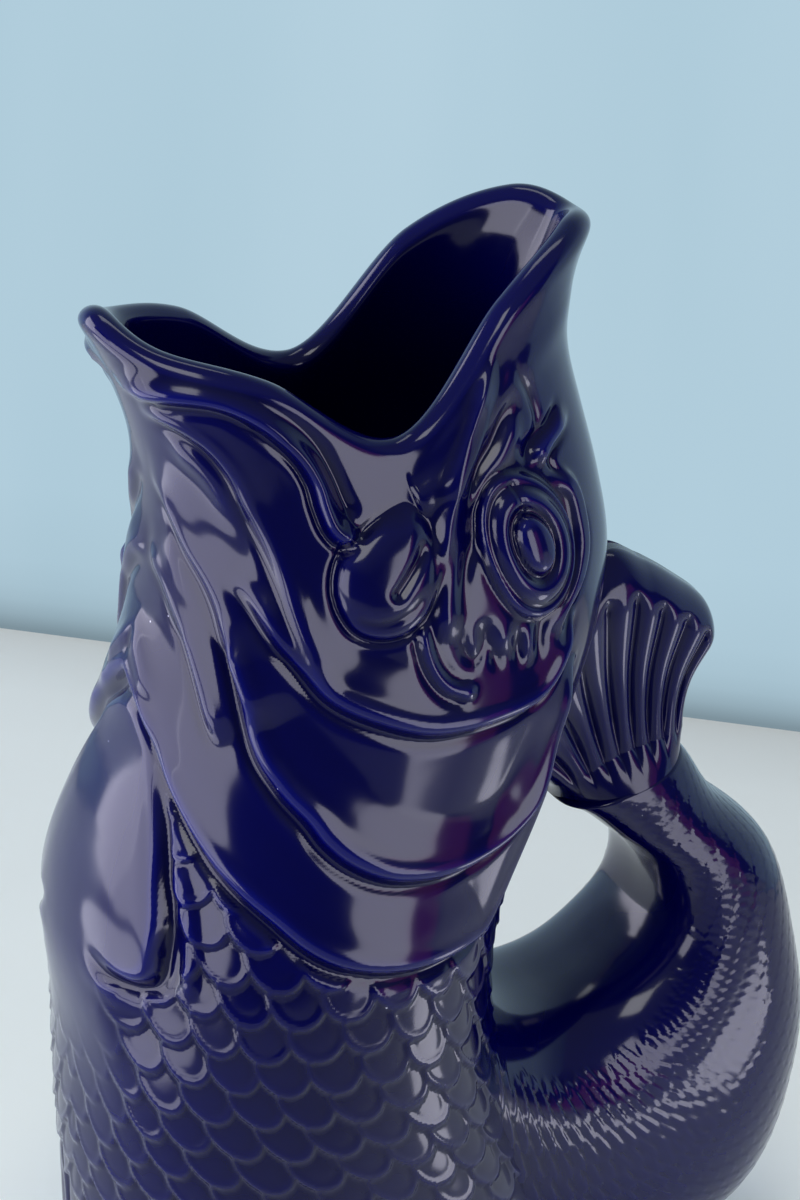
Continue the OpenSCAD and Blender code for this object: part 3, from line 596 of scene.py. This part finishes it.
def ramp(tree, factor, stops):
    """A colour ramp through two or three (position, colour) stops."""
    node = tree.nodes.new("ShaderNodeValToRGB")
    tree.links.new(factor, node.inputs["Fac"])
    elements = node.color_ramp.elements
    if len(stops) > 2:
        elements.new(stops[1][0])
    for element, (position, colour) in zip(elements, stops):
        element.position, element.color = position, (*colour, 1)
    return node.outputs["Color"]


def material(name):
    made = bpy.data.materials.new(name)
    made.use_nodes = True
    return made, made.node_tree, made.node_tree.nodes["Principled BSDF"]


def glaze(name, pooled, dark, light):
    """Cobalt glaze: deep where it pools, brighter where it breaks over an edge, with a few pinholes."""
    made, tree, surface = material(name)
    place = add(tree, "TexCoord")["Object"]
    cloud = add(tree, "TexNoise", {"Vector": place, "Scale": 14, "Detail": 3})["Fac"]
    edge = add(tree, "Attribute", attribute_name="edge")["Fac"]
    colour = ramp(tree, calc(tree, "MULTIPLY_ADD", cloud, 0.5, edge),
                  [(0.12, pooled), (0.42, dark), (1.0, light)])
    dots = add(tree, "TexVoronoi", {"Vector": place, "Scale": 140})["Distance"]
    some = add(tree, "TexNoise", {"Vector": place, "Scale": 60})["Fac"]
    hole = calc(tree, "MULTIPLY", calc(tree, "LESS_THAN", dots, 0.030),
                calc(tree, "GREATER_THAN", some, 0.60))
    mixed = add(tree, "Mix", {"Factor": hole, 6: colour, 7: (0.62, 0.62, 0.75, 1)}, data_type="RGBA")[2]
    fine = add(tree, "TexNoise", {"Vector": place, "Scale": 55, "Detail": 2})["Fac"]
    bump = add(tree, "Bump", {"Strength": 0.16, "Distance": 0.0008, "Height": fine})["Normal"]
    feed(tree, surface, {"Base Color": mixed, "Normal": bump, "Roughness": 0.115, "IOR": 1.5})
    return made


def clay(name, dark, light):
    """Bare buff stoneware at the foot."""
    made, tree, surface = material(name)
    place = add(tree, "TexCoord")["Object"]
    grain = add(tree, "TexNoise", {"Vector": place, "Scale": 220, "Detail": 5})["Fac"]
    bump = add(tree, "Bump", {"Strength": 0.4, "Distance": 0.0003, "Height": grain})["Normal"]
    colour = ramp(tree, grain, [(0, dark), (1, light)])
    feed(tree, surface, {"Base Color": colour, "Normal": bump, "Roughness": 0.85})
    return made


GLAZE = glaze("cobalt_glaze", (0.00036, 0.00060, 0.0429), (0.0006, 0.0010, 0.078), (0.006, 0.012, 0.25))
CLAY = clay("bare_clay", (0.42, 0.36, 0.28), (0.66, 0.60, 0.50))


# Pieces
def piece(name, points, faces, normals, edge):
    """A glazed piece in metres, from millimetres, with a normal for each corner of each face."""
    mesh = bpy.data.meshes.new(name)
    quads = np.asarray(faces, dtype=np.int64)
    mesh.vertices.add(len(points))
    mesh.vertices.foreach_set("co", (np.asarray(points, float) * MM).astype(np.float32).ravel())
    mesh.loops.add(quads.size)
    mesh.loops.foreach_set("vertex_index", quads.ravel().astype(np.int32))
    mesh.polygons.add(len(quads))
    mesh.polygons.foreach_set("loop_start", np.arange(0, quads.size, 4).astype(np.int32))
    mesh.polygons.foreach_set("use_smooth", np.ones(len(quads), bool))
    mesh.update(calc_edges=True)
    mesh.attributes.new("edge", "FLOAT", "POINT").data.foreach_set("value", np.asarray(edge, np.float32))
    mesh.normals_split_custom_set([tuple(n) for n in normals.reshape(-1, 3).tolist()])
    obj = bpy.data.objects.new(name, mesh)
    bpy.context.scene.collection.objects.link(obj)
    mesh.materials.append(GLAZE)
    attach(obj, "root")
    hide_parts(name)


def grid_faces(r, c, closed=True, flip=False):
    """The quads of a grid of r rows and c columns."""
    i = np.arange(r - 1)[:, None]
    j = np.arange(c if closed else c - 1)[None, :]
    k = (j + 1) % c
    low, high = i * c, (i + 1) * c
    q = np.stack(np.broadcast_arrays(low + j, low + k, high + k, high + j), -1).reshape(-1, 4)
    return q[:, ::-1] if flip else q


def cap(start, n, flip):
    """Quads that close a ring of n points by strips."""
    last = start + n - 1
    q = np.array([(start + i, start + i + 1, last - 1 - i, last - i) for i in range(n // 2 - 1)])
    return q[:, ::-1] if flip else q


def flat_normals(points, quads):
    """Each quad's own normal, at its four corners."""
    a, b, c, d = (points[quads[:, i]] for i in range(4))
    return np.repeat(unit(np.cross(c - a, d - b))[:, None], 4, 1)


def walls(quads):
    """Edges that only one of these quads has, in their own direction."""
    e = np.concatenate([quads[:, [0, 1]], quads[:, [1, 2]], quads[:, [2, 3]], quads[:, [3, 0]]]).tolist()
    known = {(a, b) for a, b in e}
    return [(a, b) for a, b in e if (b, a) not in known]


# The body: foot, outside, rim, inside and floor, as one grid of rings
def shrink(ring, k, z):
    """A ring drawn in to a share of its size, at a height."""
    c = ring.mean(0)
    out = c + (ring - c) * k
    out[:, 2] = z
    return out


foot_rows = [shrink(OUT[0], k, FOOT_H) for k in (0.01, 0.3, 0.6, 0.8, 0.93, 0.985)]
over_rim = np.radians(np.linspace(0, 180, 17))[1:-1]
rim_mid, rim_way = rim(TURNS), np.c_[rim_out(TURNS), 0 * TURNS]
upright = np.array([0, 0, 1.0])
bead_rows = [rim_mid + BEAD_R * (math.cos(t) * rim_way + math.sin(t) * upright) for t in over_rim]
FLOOR_LEVEL = WALL / (JUG_H - FOOT_H) / SHOULDER
down_inside = [[2.0], np.linspace(2, 1.9, 12)[1:], np.linspace(1.9, 0.16, 70)[1:],
               np.linspace(0.16, FLOOR_LEVEL + 0.02, 14)[1:]]
in_rows = [skin(TURNS, v, WALL) for v in np.concatenate(down_inside)]
floor_z = FOOT_H + WALL
floor_steps = ((0.985, 1.6), (0.95, 0.6), (0.9, 0.1), (0.7, 0), (0.4, 0), (0.01, 0))
floor_rows = [shrink(in_rows[-1], k, floor_z + dz) for k, dz in floor_steps]
RING = np.array(foot_rows + list(OUT) + bead_rows + in_rows + floor_rows)
first = len(foot_rows)
past_rim = first + rows + len(bead_rows)
# The rings next to the rim are evened, outside and inside
RIM_PASSES, RINGS_OUTSIDE, RINGS_INSIDE = 10, 16, 8
lo, hi = first + rows - RINGS_OUTSIDE, past_rim + RINGS_INSIDE
for _ in range(RIM_PASSES):
    RING[lo:hi] = (RING[lo - 1:hi - 1] + 2 * RING[lo:hi] + RING[lo + 1:hi + 1]) / 4
NORMAL = grid_normals(RING)
NORMAL[:first - 1] = (0, 0, -1)
NORMAL[-1] = (0, 0, 1)

# What the glaze does over the relief: thin on what stands out, pooled where it is hollow
THINNED, POOLED = 0.12, -0.12
BROAD_PASSES, TAIL_BROAD_PASSES = 14, 6
broad = full.copy()
for _ in range(BROAD_PASSES):
    broad = ring_mean(broad)
EDGE = np.zeros(RING.shape[:2])
EDGE[first:first + rows] = np.clip((full - broad) * 0.55, -0.25, 0.3)
EDGE[first + rows:past_rim] = THINNED
EDGE[past_rim:] = POOLED

# Cells that belong to a feature piece
GILL_AREA = inside([(148, 1.24), (141, 1.20), (133.5, 1.07), (127, .985), (118.5, .945), (106.5, .918),
                    (93, .897), (79, .895), (66, .903), (57.5, .945), (53, 1.02), (48.5, .98), (46.5, .87),
                    (48, .76), (52, .67), (58.2, .632), (66.1, .626), (77.9, .624), (89.8, .631),
                    (100.5, .646), (109.9, .668), (119.9, .70), (130, .729), (138.4, .756), (149, .80),
                    (156, .83), (156, .93), (152, 1.08)])


def strip(line, half):
    """How far within a band about a line."""
    mask, d, way, total = along(line, half + 3)
    out = np.full_like(CHART_X, -9.0)
    out[mask] = np.minimum(half - np.abs(d), np.minimum(way, total - way) + half * 0.4)
    return out


LIP_AREA = strip([(158, 1.875), (148, 1.915), (138, 1.925), (129.5, 1.915), (122.5, 1.875), (117.2, 1.81),
                  (114.2, 1.72), (113.4, 1.62), (110.8, 1.545), (107, 1.535)], 2.7)
UPPER_AREA = strip([(160, 1.79), (150, 1.81), (142, 1.765), (137, 1.66), (135, 1.54), (132, 1.43),
                    (129, 1.31), (125.5, 1.16), (122.5, 1.08)], 3.2)
LOWER_AREA = strip([(174, 1.49), (166, 1.43), (158.5, 1.32), (152.5, 1.215), (148, 1.11), (143.5, 1.02),
                    (140, .965)], 3.2)
# Each kind's cells, and how deep it goes into the body
THIN, THICK = 1.6, 1.8
FEATURES = {
    "lip_roll": (LIP_AREA, THIN),
    "throat_fold_upper": (UPPER_AREA, THIN),
    "throat_fold_lower": (LOWER_AREA, THIN),
    "gill_cover": (GILL_AREA + 1.4, THIN),
    "jaw": (bulb_d + 0.7, THICK),
    "eye": (13.3 - eye_r, THICK),
    "pectoral_fin": (pectoral_d + 1.0, THICK),
    "pelvic_fin": (pelvic_d + 1.0, THICK),
}
labels = np.zeros((rows - 1, cols), int)
names = {}
depth = {}
for kind, (area, deep) in FEATURES.items():
    cell = (area[:-1, :-1] + area[1:, :-1] + area[:-1, 1:] + area[1:, 1:]) / 4 > 0
    cell[:, -1] = False
    for side in ("right", "left"):
        k = len(names) + 1
        names[k] = kind + "_" + side
        depth[k] = deep
        if side == "left":
            labels[:, half_n - 1:][cell[:, ::-1]] = k
        else:
            labels[:, :half_n - 1][cell] = k


def neighbours(on):
    """How many of a cell's four neighbours are marked."""
    none = np.zeros_like(on[:1])
    return (np.roll(on, 1, 1).astype(int) + np.roll(on, -1, 1) + np.vstack([on[1:], none])
            + np.vstack([none, on[:-1]]))


# Each pass takes lone cells and spikes off a region's outline, and fills its notches
OUTLINE_PASSES = 3
for _ in range(OUTLINE_PASSES):
    for k in names:
        on = labels == k
        near = neighbours(on)
        labels[on & (near < 2)] = 0
        labels[(labels == 0) & (near > 2)] = k

all_labels = np.zeros((len(RING) - 1, cols), int)
all_labels[first:first + rows - 1] = labels
QUADS = grid_faces(len(RING), cols)
cells = {k: QUADS[all_labels.reshape(-1) == k] for k in (0, *names)}
SPOT, SPOT_NORMAL, SPOT_EDGE = RING.reshape(-1, 3), NORMAL.reshape(-1, 3), EDGE.reshape(-1)

# The body has a shallow seat under each feature piece
SEAT_GAP = 0.05
points, edges = [SPOT], [SPOT_EDGE]
seats = {}
base = len(SPOT)
for k in names:
    used = np.unique(cells[k])
    seats[k] = (used, base)
    points.append(SPOT[used] - SPOT_NORMAL[used] * (depth[k] + SEAT_GAP))
    edges.append(SPOT_EDGE[used])
    base += len(used)
points, edges = np.concatenate(points), np.concatenate(edges)
quads, normals = [cells[0]], [SPOT_NORMAL[cells[0]]]
for k, (used, base) in seats.items():
    place = dict(zip(used.tolist(), range(base, base + len(used))))
    sides = np.array([(place[b], place[a], a, b) for a, b in walls(cells[k])])
    quads += [np.searchsorted(used, cells[k]) + base, sides]
    normals += [SPOT_NORMAL[cells[k]], flat_normals(points, sides)]
quads += [cap(0, cols, True), cap((len(RING) - 1) * cols, cols, False)]
normals += [np.full((len(quads[-2]), 4, 3), (0, 0, -1.0)), np.full((len(quads[-1]), 4, 3), (0, 0, 1.0))]
quads, normals = np.concatenate(quads), np.concatenate(normals)
used, place = np.unique(quads, return_inverse=True)
piece("body", points[used], place.reshape(quads.shape), normals, edges[used])

for k, name in names.items():
    used, place = np.unique(cells[k], return_inverse=True)
    top = place.reshape(cells[k].shape)
    points = np.concatenate([SPOT[used], SPOT[used] - SPOT_NORMAL[used] * depth[k]])
    n = len(used)
    sides = np.array([(b, a, a + n, b + n) for a, b in walls(top)])
    quads = np.concatenate([top, (top + n)[:, ::-1], sides])
    corner = SPOT_NORMAL[used][top]
    piece(name, points, quads, np.concatenate([corner, -corner[:, ::-1], flat_normals(points, sides)]),
          np.tile(SPOT_EDGE[used], 2))


# The tail and its fin, as tubes of rings
def inward(rings, normals):
    """Whether the normals point into the tube."""
    return ((rings - rings.mean(1, keepdims=True)) * normals)[10:-10].sum() < 0


def tube(name, rings, edge, capped, tip=None):
    """A piece made of closed rings, with a cap on its first end, or on both."""
    normals = grid_normals(rings)
    flip = inward(rings, normals)
    if flip:
        normals = -normals
    if tip is not None:
        normals[-1] = tip
    r, n = rings.shape[:2]
    quads, points = grid_faces(r, n, flip=flip), rings.reshape(-1, 3)
    caps = np.concatenate([cap(0, n, not flip), cap((r - 1) * n, n, flip)][:capped])
    corner = np.concatenate([normals.reshape(-1, 3)[quads], flat_normals(points, caps)])
    piece(name, points, np.concatenate([quads, caps]), corner, edge.reshape(-1))


# The tail: rings a step apart in millimetres, and scales that shrink towards its tip
RING_STEP, RING_POINTS = 0.62, 300
SIZE_STATIONS, SIZES = [0, 1.5, 3.5, 8], [9.0, 6.4, 4.4, 3.6]
stations = np.linspace(0, LAST, 801)
mids = (tail_ring(stations, 0.0) + tail_ring(stations, 180.0)) / 2
length = np.concatenate([[0], np.cumsum(np.linalg.norm(np.diff(mids, axis=0), axis=1))])
tail_rows = int(length[-1] / RING_STEP)
tail_at = np.interp(np.linspace(0, length[-1], tail_rows), length, stations)
tail_turns = np.arange(0, 360, 360 / RING_POINTS)
ring = tail_ring(tail_at[:, None], tail_turns[None, :])
gaps = np.linalg.norm(np.roll(ring, -1, 1) - ring, axis=-1)
around = np.concatenate([np.zeros((tail_rows, 1)), np.cumsum(gaps, 1)[:, :-1]], 1)
whole = gaps.sum(1, keepdims=True)
around = np.where(around > whole / 2, around - whole, around)
way = np.interp(tail_at, stations, length)[:, None] + 0 * around
size = np.interp(tail_at, SIZE_STATIONS, SIZES)[:, None]
down = np.cumsum(np.gradient(way[:, 0]) / size[:, 0])[:, None] + 0 * around
outward = grid_normals(ring)
if inward(ring, outward):
    outward = -outward
relief = scales(around / size, -down, 1.0, 0.66, 1.0, 0.10, 11) * (0.0060 * size**2.1)
# The inside of the loop stays smooth, up to a ragged line
inner = np.abs(fold(tail_turns)[None, :] - 180) + 0 * around
ragged = 46 + 7 * wobble(way, inner * 0.15, 0.55, 5) + 6 * np.abs(((way / 4.5) % 1) - 0.5) * 2
relief = relief * smooth((inner - ragged) / 5) * smooth((LAST - tail_at[:, None]) / 0.25 + 0.1)
scaled = ring + outward * relief[..., None]
root_mid, tip_mid = scaled[0].mean(0), scaled[-1].mean(0)
ahead = unit(mids[-1] - mids[-8])
root_end = [root_mid + (scaled[0] - root_mid) * k for k in (0.01, 0.5, 0.95)]
tip_steps = ((0.96, 0.5), (0.86, 0.9), (0.6, 1.1), (0.3, 1.1), (0.01, 1.1))
tip_end = [tip_mid + (scaled[-1] - tip_mid) * k + ahead * step for k, step in tip_steps]
tail_rings = np.array(root_end + list(scaled) + tip_end)
broad = relief.copy()
for _ in range(TAIL_BROAD_PASSES):
    broad = ring_mean(broad)
tail_edge = np.zeros(tail_rings.shape[:2])
tail_edge[len(root_end):len(root_end) + tail_rows] = np.clip((relief - broad) * 1.3, -0.2, 0.45)
tube("tail", tail_rings, tail_edge, 2)

# The tail fin: steps from its waist out to the edge, and across it
FAN_OUTWARD = spaced([(0.0, 0.008), (0.8, 0.005), (1.0, 1)])
FAN_ACROSS = spaced([(-1, 0.004), (-0.96, 0.0125), (0.96, 0.004), (1, 1)])


def fan_side(sign):
    """One face of the fin, with how much its ribs stand out."""
    g, q = np.meshgrid(FAN_OUTWARD, FAN_ACROSS, indexing="ij")
    p = fan_mid(g, q)
    end = np.where(g < FAN_ROUND, 1, np.sqrt(np.clip(1 - ((g - FAN_ROUND) / (1 - FAN_ROUND)) ** 2, 0, 1)))
    wave = np.abs(np.sin(np.pi * FAN_RAYS * (q + 1) / 2)) ** 0.75
    reach = smooth((g - 0.04) / 0.42) * (1 - smooth((g - 0.86) / 0.06))
    half = end * (FAN_T * through(FAN_THICK, g) + 0.5 * reach * (wave - 1) * FAN_FURROW * 1.7)
    edge = np.clip(1 - np.abs(q) ** FAN_SQUARE, 0, 1) ** (1 / FAN_SQUARE)
    yr = WAIST_HALF * np.sqrt(np.clip(1 - q * q, 0, 1))
    y = yr + (half * edge - yr) * np.minimum(g / FAN_FLAT, 1)
    return np.stack([p[..., 0], sign * y, p[..., 1]], -1), reach * (wave - 0.55)


near_side, near_edge = fan_side(-1)
far_side, far_edge = fan_side(1)
fan_rings = np.concatenate([near_side, far_side[:, -2:0:-1]], 1)
fan_edge = np.clip(np.concatenate([near_edge, far_edge[:, -2:0:-1]], 1) * 0.3, -0.15, 0.2)
tube("tail_fin", fan_rings, fan_edge, 1, unit(fan_rings[-1] - fan_rings[-3]))

# The bare foot is the frame's own
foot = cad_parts["foot_ring"]
foot.data.materials.clear()
foot.data.materials.append(CLAY)

# The camera
AIM = Vector((0.012, 0.0, 0.172))
VIEWPOINT = Vector((-0.2753, -0.6160, 0.4890))
LENS, SENSOR = 108.9, 36.0
PHOTO_W, PHOTO_H = 800, 1200
# Where the table's far edge meets the photograph's sides, in its pixels
EDGE_LEFT, EDGE_RIGHT = (0, 628), (800, 732)
cam_data = bpy.data.cameras.new("camera")
cam_data.lens, cam_data.sensor_width, cam_data.sensor_fit = LENS, SENSOR, "AUTO"
cam_data.clip_end = 30
cam = bpy.data.objects.new("camera", cam_data)
bpy.context.scene.collection.objects.link(cam)
cam.location = VIEWPOINT
cam.rotation_euler = (AIM - VIEWPOINT).to_track_quat("-Z", "Y").to_euler()
bpy.context.scene.camera = cam
bpy.context.view_layer.update()


def on_floor(x, y):
    """Where a pixel of the photograph meets the table."""
    focal = LENS / SENSOR * PHOTO_H
    d = cam.matrix_world.to_3x3() @ Vector(((x - PHOTO_W / 2) / focal, (PHOTO_H / 2 - y) / focal, -1))
    return VIEWPOINT + d * (-VIEWPOINT.z / d.z)


# The table and the wall, and the middle of the jug's shadow
JUG_X = 0.018


def stage_material(name, colour, second, scale, glow, stretch=(1, 1, 1), one_sided=False, shadow=False):
    """A matt surface that also glows for the camera and in reflections, so that it stays evenly lit."""
    made, tree, surface = material(name)
    place = add(tree, "TexCoord")["Object"]
    spread = add(tree, "Mapping", {"Vector": place, "Scale": stretch})["Vector"]
    cloud = add(tree, "TexNoise", {"Vector": spread, "Scale": scale, "Detail": 3})["Fac"]
    # The sheet's painted shade multiplies the colour: painted shade and painted light on the table and the
    # wall
    painted_shade = add(tree, "Attribute", attribute_name="painted_shade")["Color"]
    both = {"Factor": 1, 6: ramp(tree, cloud, [(0.3, colour), (0.7, second)]), 7: painted_shade}
    shade = add(tree, "Mix", both, data_type="RGBA", blend_type="MULTIPLY")[2]
    feed(tree, surface, {"Base Color": shade, "Roughness": 0.9, "Specular IOR Level": 0.1})
    rays = add(tree, "LightPath")
    seen = calc(tree, "MAXIMUM", rays["Is Camera Ray"], rays["Is Glossy Ray"])
    seen = calc(tree, "MAXIMUM", seen, rays["Is Transmission Ray"])
    part = calc(tree, "MULTIPLY", seen, glow)
    if shadow:
        # Close to the jug the table shows only what the lamps give it
        level = add(tree, "VectorMath", {0: place, 1: (1, 1, 0)}, operation="MULTIPLY")[0]
        away = add(tree, "VectorMath", {0: level, 1: (JUG_X, 0, 0)}, operation="DISTANCE")["Value"]
        fade = {"Value": away, "From Min": 0.05, "From Max": 0.125, "To Min": 0.1, "To Max": 1.0}
        part = calc(tree, "MULTIPLY", part, add(tree, "MapRange", fade, interpolation_type="SMOOTHSTEP")[0])
    light = add(tree, "Emission", {"Color": shade})[0]
    lit = add(tree, "MixShader", {"Fac": part, 1: surface.outputs[0], 2: light})[0]
    if one_sided:
        behind = add(tree, "NewGeometry")["Backfacing"]
        lit = add(tree, "MixShader", {"Fac": behind, 1: lit, 2: add(tree, "BsdfTransparent")[0]})[0]
    tree.links.new(lit, tree.nodes["Material Output"].inputs["Surface"])
    return made


left, right = on_floor(*EDGE_LEFT), on_floor(*EDGE_RIGHT)
side = (right - left).normalized()
back = Vector((-side.y, side.x, 0))
if back.dot(left - VIEWPOINT) < 0:
    back = -back
mid = (left + right) / 2
SHEET_POINTS = 9


def sheet(name, profile, half, finish, towards):
    """A sheet along the table's far edge, through (distance back, height, painted shade) rows."""
    points, painted_shades = [], []
    for d, z, painted_shade in profile:
        for across in np.linspace(-half, half, SHEET_POINTS):
            p = mid + side * float(across) + back * d
            points.append((p.x, p.y, z))
            painted_shades.append(painted_shade)
    q = grid_faces(len(profile), SHEET_POINTS, closed=False)
    a, b, c = (Vector(points[i]) for i in q[0][:3])
    if (b - a).cross(c - a).dot(towards) < 0:
        q = q[:, ::-1]
    mesh = bpy.data.meshes.new(name)
    mesh.from_pydata(points, [], q.tolist())
    mesh.shade_smooth()
    mesh.materials.append(finish)
    mesh.attributes.new("painted_shade", "FLOAT", "POINT").data.foreach_set("value", np.asarray(painted_shades, np.float32))
    obj = bpy.data.objects.new(name, mesh)
    bpy.context.scene.collection.objects.link(obj)


TABLE = stage_material("table_top", (0.87, 0.925, 0.89), (0.92, 0.975, 0.935), 5, 0.44, shadow=True)
PAINT = stage_material("painted_wall", (0.42, 0.595, 0.70), (0.475, 0.645, 0.75), 3, 1.0,
                       stretch=(3.0, 3.0, 0.5), one_sided=True)
# Painted shade of the table by distance past its far edge: dark in front of the jug, lightest just behind it,
# darker at the wall; and of the wall by height: darker at its foot and higher up
TABLE_PAINTED_SHADE = [(-2.4, 0.46), (-0.62, 0.46), (-0.5, 0.5), (-0.42, 0.78), (-0.35, 1.08), (-0.3, 1.08),
               (-0.2, 1.02), (-0.1, 0.95), (-0.04, 0.89), (0, 0.76)]
WALL_PAINTED_SHADE = [(-0.02, 0.42), (0.001, 0.46), (0.006, 0.66), (0.011, 0.8), (0.016, 0.87), (0.025, 0.93),
              (0.05, 0.98), (0.28, 1), (0.4, 0.75), (0.55, 0.5), (0.9, 0.32)]
sheet("table", [(d, 0, painted_shade) for d, painted_shade in TABLE_PAINTED_SHADE], 2.4, TABLE, Vector((0, 0, 1)))
sheet("wall", [(0, z, painted_shade) for z, painted_shade in WALL_PAINTED_SHADE], 1.5, PAINT, -back)

# The lamps
CAMERA_TURN = math.degrees(math.atan2(VIEWPOINT.y - AIM.y, VIEWPOINT.x - AIM.x))
JUG_MIDDLE = Vector((0, 0, 0.12))
JUST_ABOVE = 0.003
PANE = (0.98, 0.965, 1.12)


def softbox(name, turned, up, far, wide, high, radiance, colour=(1, 1, 1)):
    """A rectangular lamp that faces the jug, so many degrees to the right of the camera and up."""
    az, el = math.radians(CAMERA_TURN + turned), math.radians(up)
    d = Vector((math.cos(az) * math.cos(el), math.sin(az) * math.cos(el), math.sin(el)))
    data = bpy.data.lights.new(name, "AREA")
    data.shape = "RECTANGLE"
    data.size, data.size_y = wide, high
    data.energy = radiance * math.pi * wide * high
    data.color = colour
    obj = bpy.data.objects.new(name, data)
    bpy.context.scene.collection.objects.link(obj)
    obj.location = JUG_MIDDLE + d * far
    obj.rotation_euler = (-d).to_track_quat("-Z", "Y").to_euler()
    obj.visible_camera = False
    return obj


def sunlit(name, turned, far, wide, long, radiance):
    """A bright oval of sunlight on the table, outside the photograph's frame."""
    obj = softbox(name, turned, 0, far, wide, long, radiance, PANE)
    obj.data.shape = "ELLIPSE"
    obj.location.z = JUST_ABOVE
    obj.rotation_euler = (math.pi, 0, math.radians(CAMERA_TURN + turned - 90))


softbox("window_right", 45.5, 10, 0.6, 0.205, 0.43, 3.1, PANE)
softbox("window_left_a", -44, 9, 1.6, 0.93, 0.95, 3.4, PANE)
softbox("window_left_b", -76, 5, 1.6, 0.93, 0.80, 3.1, PANE)
softbox("window_left_c", -109, 14, 1.6, 1.0, 1.1, 3.6, PANE)
softbox("lamp_above", -7, 54, 1.6, 0.5, 0.5, 3.6)
softbox("lamp_behind", 180, 62, 1.6, 1.0, 0.8, 2.2, (0.93, 0.97, 1.0))
softbox("tinted_card", 61, 8, 0.9, 0.2, 0.5, 0.42, (1.0, 0.14, 0.6))
sunlit("bright_table_left", -74, 0.66, 0.70, 0.74, 2.2)
sunlit("bright_table_right", 74, 0.28, 0.085, 0.21, 2.9)

# The room's own light, darker low down, and a pale ground for the camera
ROOM_TONES = [(0.35, (0.052, 0.057, 0.068)), (0.60, (0.15, 0.165, 0.20))]
PALE_TONE = (0.50, 0.58, 0.62, 1)
world = bpy.data.worlds.new("world")
bpy.context.scene.world = world
world.use_nodes = True
tree = world.node_tree
room = tree.nodes["Background"]
height = add(tree, "SeparateXYZ", {0: add(tree, "TexCoord")["Generated"]})["Z"]
feed(tree, room, {"Color": ramp(tree, height, ROOM_TONES)})
pale = add(tree, "Background", {"Color": PALE_TONE})[0]
direct = add(tree, "LightPath")["Is Camera Ray"]
seen = add(tree, "MixShader", {"Fac": direct, 1: room.outputs[0], 2: pale})[0]
tree.links.new(seen, tree.nodes["World Output"].inputs["Surface"])

bpy.context.scene.view_settings.view_transform = "Standard"
